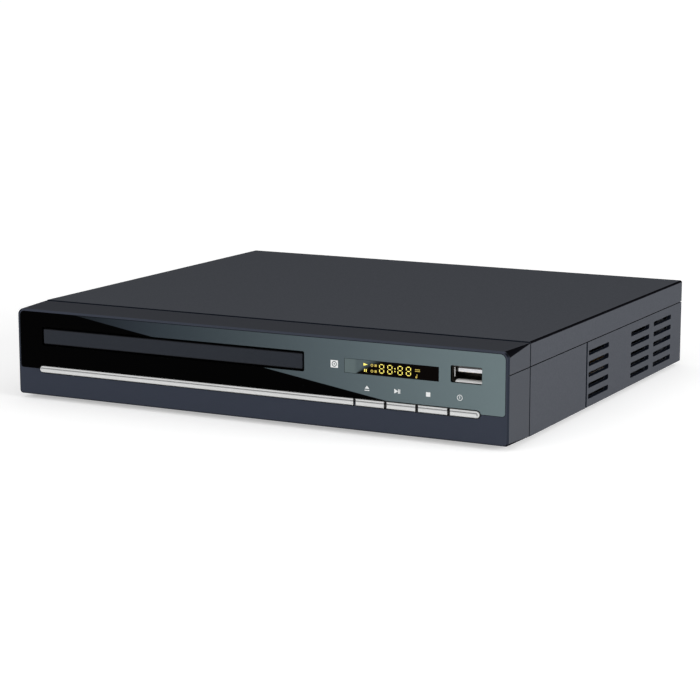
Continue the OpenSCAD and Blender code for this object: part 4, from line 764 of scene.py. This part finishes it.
resist = board("solder_resist", (0.012, 0.085, 0.032, 1), (0.025, 0.14, 0.052, 1), pitch=1.27 * MM)
paper_board = board("paper_board", (0.20, 0.12, 0.045, 1), (0.26, 0.165, 0.07, 1), pitch=2.54 * MM)
chip_plastic = moulded(
    "chip_plastic", (0.014, 0.014, 0.016, 1), (0.03, 0.03, 0.032, 1),
    grain=0.12 * MM, edge=0.1 * MM, rough=0.6,
)
COIL_LOW, COIL_HIGH = 12 * MM, 28 * MM
TAPE_LOW, TAPE_HIGH = (0.075, 0.055, 0.014, 1), (0.11, 0.08, 0.02, 1)
tape = finish(
    "winding_tape",
    lambda sheet: sheet.mix(sheet.span(sheet.along(2), COIL_LOW, COIL_HIGH), TAPE_LOW, TAPE_HIGH),
    lambda sheet: sheet.uneven(2 * MM, 0.25, 0.4),
    lambda sheet: sheet.grained(1.5 * MM, 0.05 * MM, 0.5, 0.3 * MM, stretch=(0.2, 0.2, 3)),
)
sleeve = finish(
    "can_sleeve",
    lambda sheet: sheet.mix(sheet.noise(8 * MM), (0.010, 0.016, 0.055, 1), (0.014, 0.022, 0.075, 1)),
    lambda sheet: sheet.uneven(2 * MM, 0.2, 0.32),
    lambda sheet: sheet.grained(1 * MM, 0.01 * MM, 0.5, 0.3 * MM),
    Specular_IOR_Level=0.5,
)
sink_metal = metal("extruded_aluminium", (0.66, 0.67, 0.68, 1), 0.42, 1 * MM, stretch=(1, 1, 0.05))


def strands(sheet):
    """The wires in the flat cable, 1 mm apart: a Wave node's bands lie pi / 10 / scale apart."""
    bands = {"Vector": sheet.place(), "Scale": 320}
    return sheet.add("ShaderNodeTexWave", {"bands_direction": "Z"}, bands)


ribbon = finish(
    "flat_ribbon",
    lambda sheet: sheet.mix(strands(sheet), (0.45, 0.45, 0.43, 1), (0.66, 0.66, 0.63, 1)),
    lambda sheet: sheet.uneven(2 * MM, 0.35, 0.5),
    lambda sheet: sheet.bump(strands(sheet), 0.05 * MM),
)
dress(resist, "main_board", "front_board")
dress(paper_board, "power_board")
dress(chip_plastic, "main_chips", "board_switches", "ir_receiver", "display_module")
dress(tape, "transformer")
dress(sleeve, "capacitors")
dress(sink_metal, "heat_sink")
dress(ribbon, "flat_cable")

# ---------------------------------------------------------------------------
# Rear panel and sockets
# Punched steel sheet in textured black paint, caught in the tub's grooves. Phono jacks, a scart
# socket, a digital video socket and a figure-8 mains inlet look out of it.
# ---------------------------------------------------------------------------

rear_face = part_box("rear_panel")[1].y
jacks_low, jacks_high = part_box("jack_barrels")
JACK_ACROSS = 8.3 * MM
JACK_INKS = ((0.80, 0.30, 0.02, 1), (0.85, 0.62, 0.03, 1), (0.85, 0.85, 0.83, 1), (0.50, 0.02, 0.02, 1))


def jack_colours(sheet, colour):
    """One dye for each jack's collar, where it looks out of the rear panel."""
    pitch = (jacks_high.x - jacks_low.x - JACK_ACROSS) / (len(JACK_INKS) - 1)
    dye = JACK_INKS[0]
    for count, next_dye in enumerate(JACK_INKS[1:]):
        border = jacks_low.x + JACK_ACROSS / 2 + (count + 0.5) * pitch
        dye = sheet.mix(sheet.span(sheet.along(0), border - 0.01 * MM, border + 0.01 * MM), dye, next_dye)
    return sheet.mix(sheet.span(sheet.along(1), rear_face - 1 * MM, rear_face - 0.9 * MM), colour, dye)


rear_paint = moulded(
    "rear_paint", (0.020, 0.021, 0.024, 1), (0.12, 0.12, 0.125, 1),
    grain=0.5 * MM, edge=0.15 * MM, rough=0.6, gloss=0.25,
)
jack_plastic = moulded("jack_plastic", tint_and_shade=jack_colours, **BLACK_MOULDING)
nickel = metal("nickel_plate", (0.80, 0.78, 0.74, 1), 0.2)
dress(rear_paint, "rear_panel")
dress(screw_metal, "rear_screws")
dress(black_plastic, "scart_socket", "mains_inlet")
dress(jack_plastic, "jack_block")
dress(nickel, "hdmi_socket", "jack_barrels", "inlet_pins")

# ---------------------------------------------------------------------------
# Floor, light and camera
# A white floor that keeps the case's shadow, a soft sky, a broad soft lamp on the right and a
# weaker one in front.
# ---------------------------------------------------------------------------

SKY = 0.55
FLOOR_HALF = 20
FLOOR_GREY = (0.80, 0.80, 0.80, 1)
NEAR, FAR = 0.2, 1.4
GLOW_NEAR, GLOW_FAR = 0.42, 0.6


def seen_rays(sheet):
    """1 for rays that meet the background straight, in a mirror or through glass."""
    path = "ShaderNodeLightPath"
    seen = sheet.add(path, output="Is Camera Ray") + sheet.add(path, output="Is Glossy Ray")
    rays = {0: seen, 1: sheet.add(path, output="Is Transmission Ray")}
    return sheet.add("ShaderNodeMath", {"operation": "ADD", "use_clamp": True}, rays)


def far_white(sheet):
    """The floor's own light, which makes up for the lamps' fall with the distance."""
    distance = sheet.add("ShaderNodeVectorMath", {"operation": "LENGTH"}, {0: sheet.place()}, output="Value")
    return sheet.span(distance, NEAR, FAR, GLOW_NEAR, GLOW_FAR)


floor_material = bpy.data.materials.new("floor")
floor_material.use_nodes = True
floor_sheet = Sheet(floor_material.node_tree)
floor_glow = seen_rays(floor_sheet) * far_white(floor_sheet)
floor_shader = floor_sheet.add(
    "ShaderNodeAddShader",
    inputs={
        0: floor_sheet.add("ShaderNodeBsdfDiffuse", inputs={"Color": FLOOR_GREY}),
        1: floor_sheet.add("ShaderNodeEmission", inputs={"Strength": floor_glow}),
    },
)
floor_sheet.add("ShaderNodeOutputMaterial", inputs={"Surface": floor_shader})
floor_shape = bmesh.new()
bmesh.ops.create_grid(floor_shape, x_segments=1, y_segments=1, size=FLOOR_HALF)
floor = placed(floor_shape, "floor", floor_material)

world = bpy.data.worlds.new("sky")
world.use_nodes = True
bpy.context.scene.world = world
sky = Sheet(world.node_tree)
sky_strength = seen_rays(sky) * (1 - SKY) + SKY
sky_light = sky.add("ShaderNodeBackground", inputs={"Color": (1, 1, 1, 1), "Strength": sky_strength})
sky.add("ShaderNodeOutputWorld", inputs={"Surface": sky_light})


def soft_lamp(name, place, aim, power):
    """A broad lamp that neither the camera nor a mirror sees."""
    light = bpy.data.lights.new(name, "AREA")
    light.shape = "RECTANGLE"
    light.size = 1.2
    light.size_y = 0.8
    light.energy = power
    lamp = bpy.data.objects.new(name, light)
    lamp.location = place
    lamp.rotation_euler = (Vector(aim) - Vector(place)).to_track_quat("-Z", "Y").to_euler()
    lamp.visible_camera = False
    lamp.visible_glossy = False
    bpy.context.scene.collection.objects.link(lamp)


soft_lamp("right_lamp", place=(1.6, -0.1, 0.35), aim=(0.1, 0, 0.02), power=26)
soft_lamp("front_lamp", place=(-0.4, -1.8, 0.9), aim=(0, -0.1, 0.02), power=10)

LENS, FILM = 108.134, 36
CAMERA_PLACE = (0.434724, -0.855531, 0.189011)
CAMERA_TILT, CAMERA_HEADING = 79.645, 27.373
camera_data = bpy.data.cameras.new("camera")
camera_data.lens = LENS
camera_data.sensor_width = FILM
camera = bpy.data.objects.new("camera", camera_data)
camera.location = CAMERA_PLACE
camera.rotation_euler = (math.radians(CAMERA_TILT), 0, math.radians(CAMERA_HEADING))
bpy.context.scene.collection.objects.link(camera)
bpy.context.scene.camera = camera
bpy.context.scene.view_settings.view_transform = "Standard"
